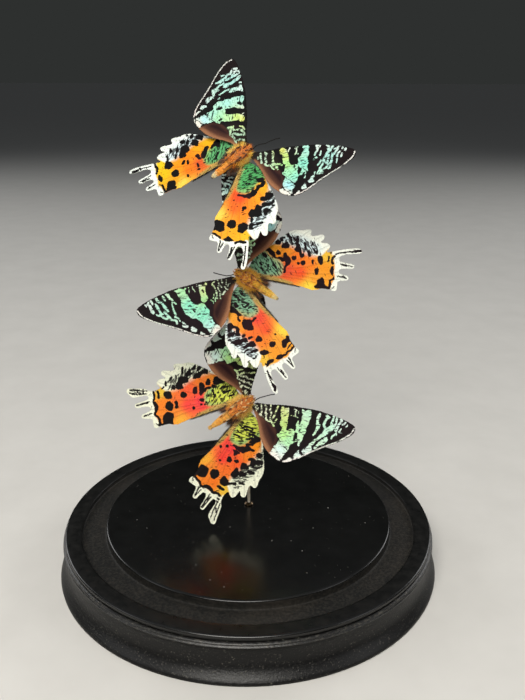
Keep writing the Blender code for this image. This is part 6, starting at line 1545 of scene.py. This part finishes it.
def build_body(moth, seed):
    """Skin, hair, eyes and legs of one moth, in the place of its body's node."""
    name = moth["name"]
    thorax, tufts, abdomen, end, legs = COATS[name]
    leg_shades = [linear(shade)[:3] for shade in legs.split()]
    rng = np.random.default_rng(seed)
    leg_lines = [rounded_line([(x * side, y, z) for x, y, z in leg], 0.35)
                 for side in (1.0, -1.0) for leg in LEGS]
    coat = Growth()
    grow_skin(coat, abdomen)
    grow_thorax(coat, rng, thorax, leg_lines, 0.05 if name == "middle_moth" else 0.16)
    grow_tufts(coat, rng, tufts)
    grow_abdomen(coat, rng, abdomen, end)
    grow_end(coat, rng, *END_HAIR[moth["tail"]])
    grow_head(coat, rng, thorax)
    grow_folds(coat, rng)
    for side, lines in ((1.0, leg_lines[:3]), (-1.0, leg_lines[3:])):
        grow_eye(coat, side)
        for number, line in enumerate(lines):
            grow_leg(coat, rng, line, leg_shades, number)
    coat.show(f"{name}_coat", body_matrix(moth), (fur, chitin, horn), (f"{name}_body",))


# Long hair along each hindwing's inner edge: pale golden on the wing's face, and dark brown where it hangs
# past the edge from the back.  That dark brown is partly the hair's own colour and partly painted shade
# between abdomen and wing.
def build_fringe(moth, wing, seed):
    """The two rows of hair of one hindwing."""
    name = f"{moth['name']}_{wing}"
    side = 1.0 if wing.startswith("left") else -1.0
    rng = np.random.default_rng(seed)
    line = rounded(HIND_INNER[::-1] + HIND_HEM[:-4:-1][:1], 0.3, closed=False)
    fringe = Growth()
    for count, front in ((900, True), (800, False)):
        reach = rng.random(count) ** (1.5 if front else 1.0) * (len(line) - 2)
        at = (reach * (0.85 if front else 0.72)).astype(int)
        along = line[at + 1] - line[at]
        along /= np.hypot(*along.T)[:, None]
        inward = np.stack((-along[:, 1], along[:, 0]), axis=1)
        narrow = np.clip(1.35 - 1.6 * at / len(line), 0.12, 1)
        depth = (rng.uniform(-0.1, 1.9, count) if front else rng.uniform(-0.3, 0.2, count)) * narrow
        flat = line[at] + inward * depth[:, None]
        roots = np.column_stack((flat[:, 0] * side, flat[:, 1], np.full(count, 0.12 if front else -0.14)))
        ways = np.column_stack((along[:, 0] * side, along[:, 1], np.full(count, 0.09 if front else -0.16)))
        lean = rng.uniform(-0.05, 0.15, (count, 1)) if front else rng.uniform(0.1, 0.75, (count, 1))
        ways[:, :2] -= inward * (side, 1) * lean
        ways = ways + 0.06 * rng.normal(size=ways.shape)
        # the back row's dark browns are partly the hair's colour and partly painted shade between abdomen and
        # hindwing
        shades = "E0C070 C8A050 A88440 F0DC98 7A5A30" if front else "3A2216 54341E 1E120C 7A4E2C"
        tints = pick(rng, shades, count)
        outward = np.tile((0.0, 0.0, 1.0 if front else -1.0), (count, 1))
        fringe.add(*hairs(rng, roots, ways, rng.uniform(1.0, 2.6, count) * (0.5 + 0.5 * narrow),
                          rng.uniform(0.04, 0.07, count), tints, 0.12, outward), FUR)
    fringe.show(f"{name}_fringe", wing_matrix(moth, wing), (fur,))


for seed, moth in enumerate(MOTHS):
    build_body(moth, 11 + seed)
    build_fringe(moth, "left_hindwing", 21 + seed)
    build_fringe(moth, "right_hindwing", 31 + seed)
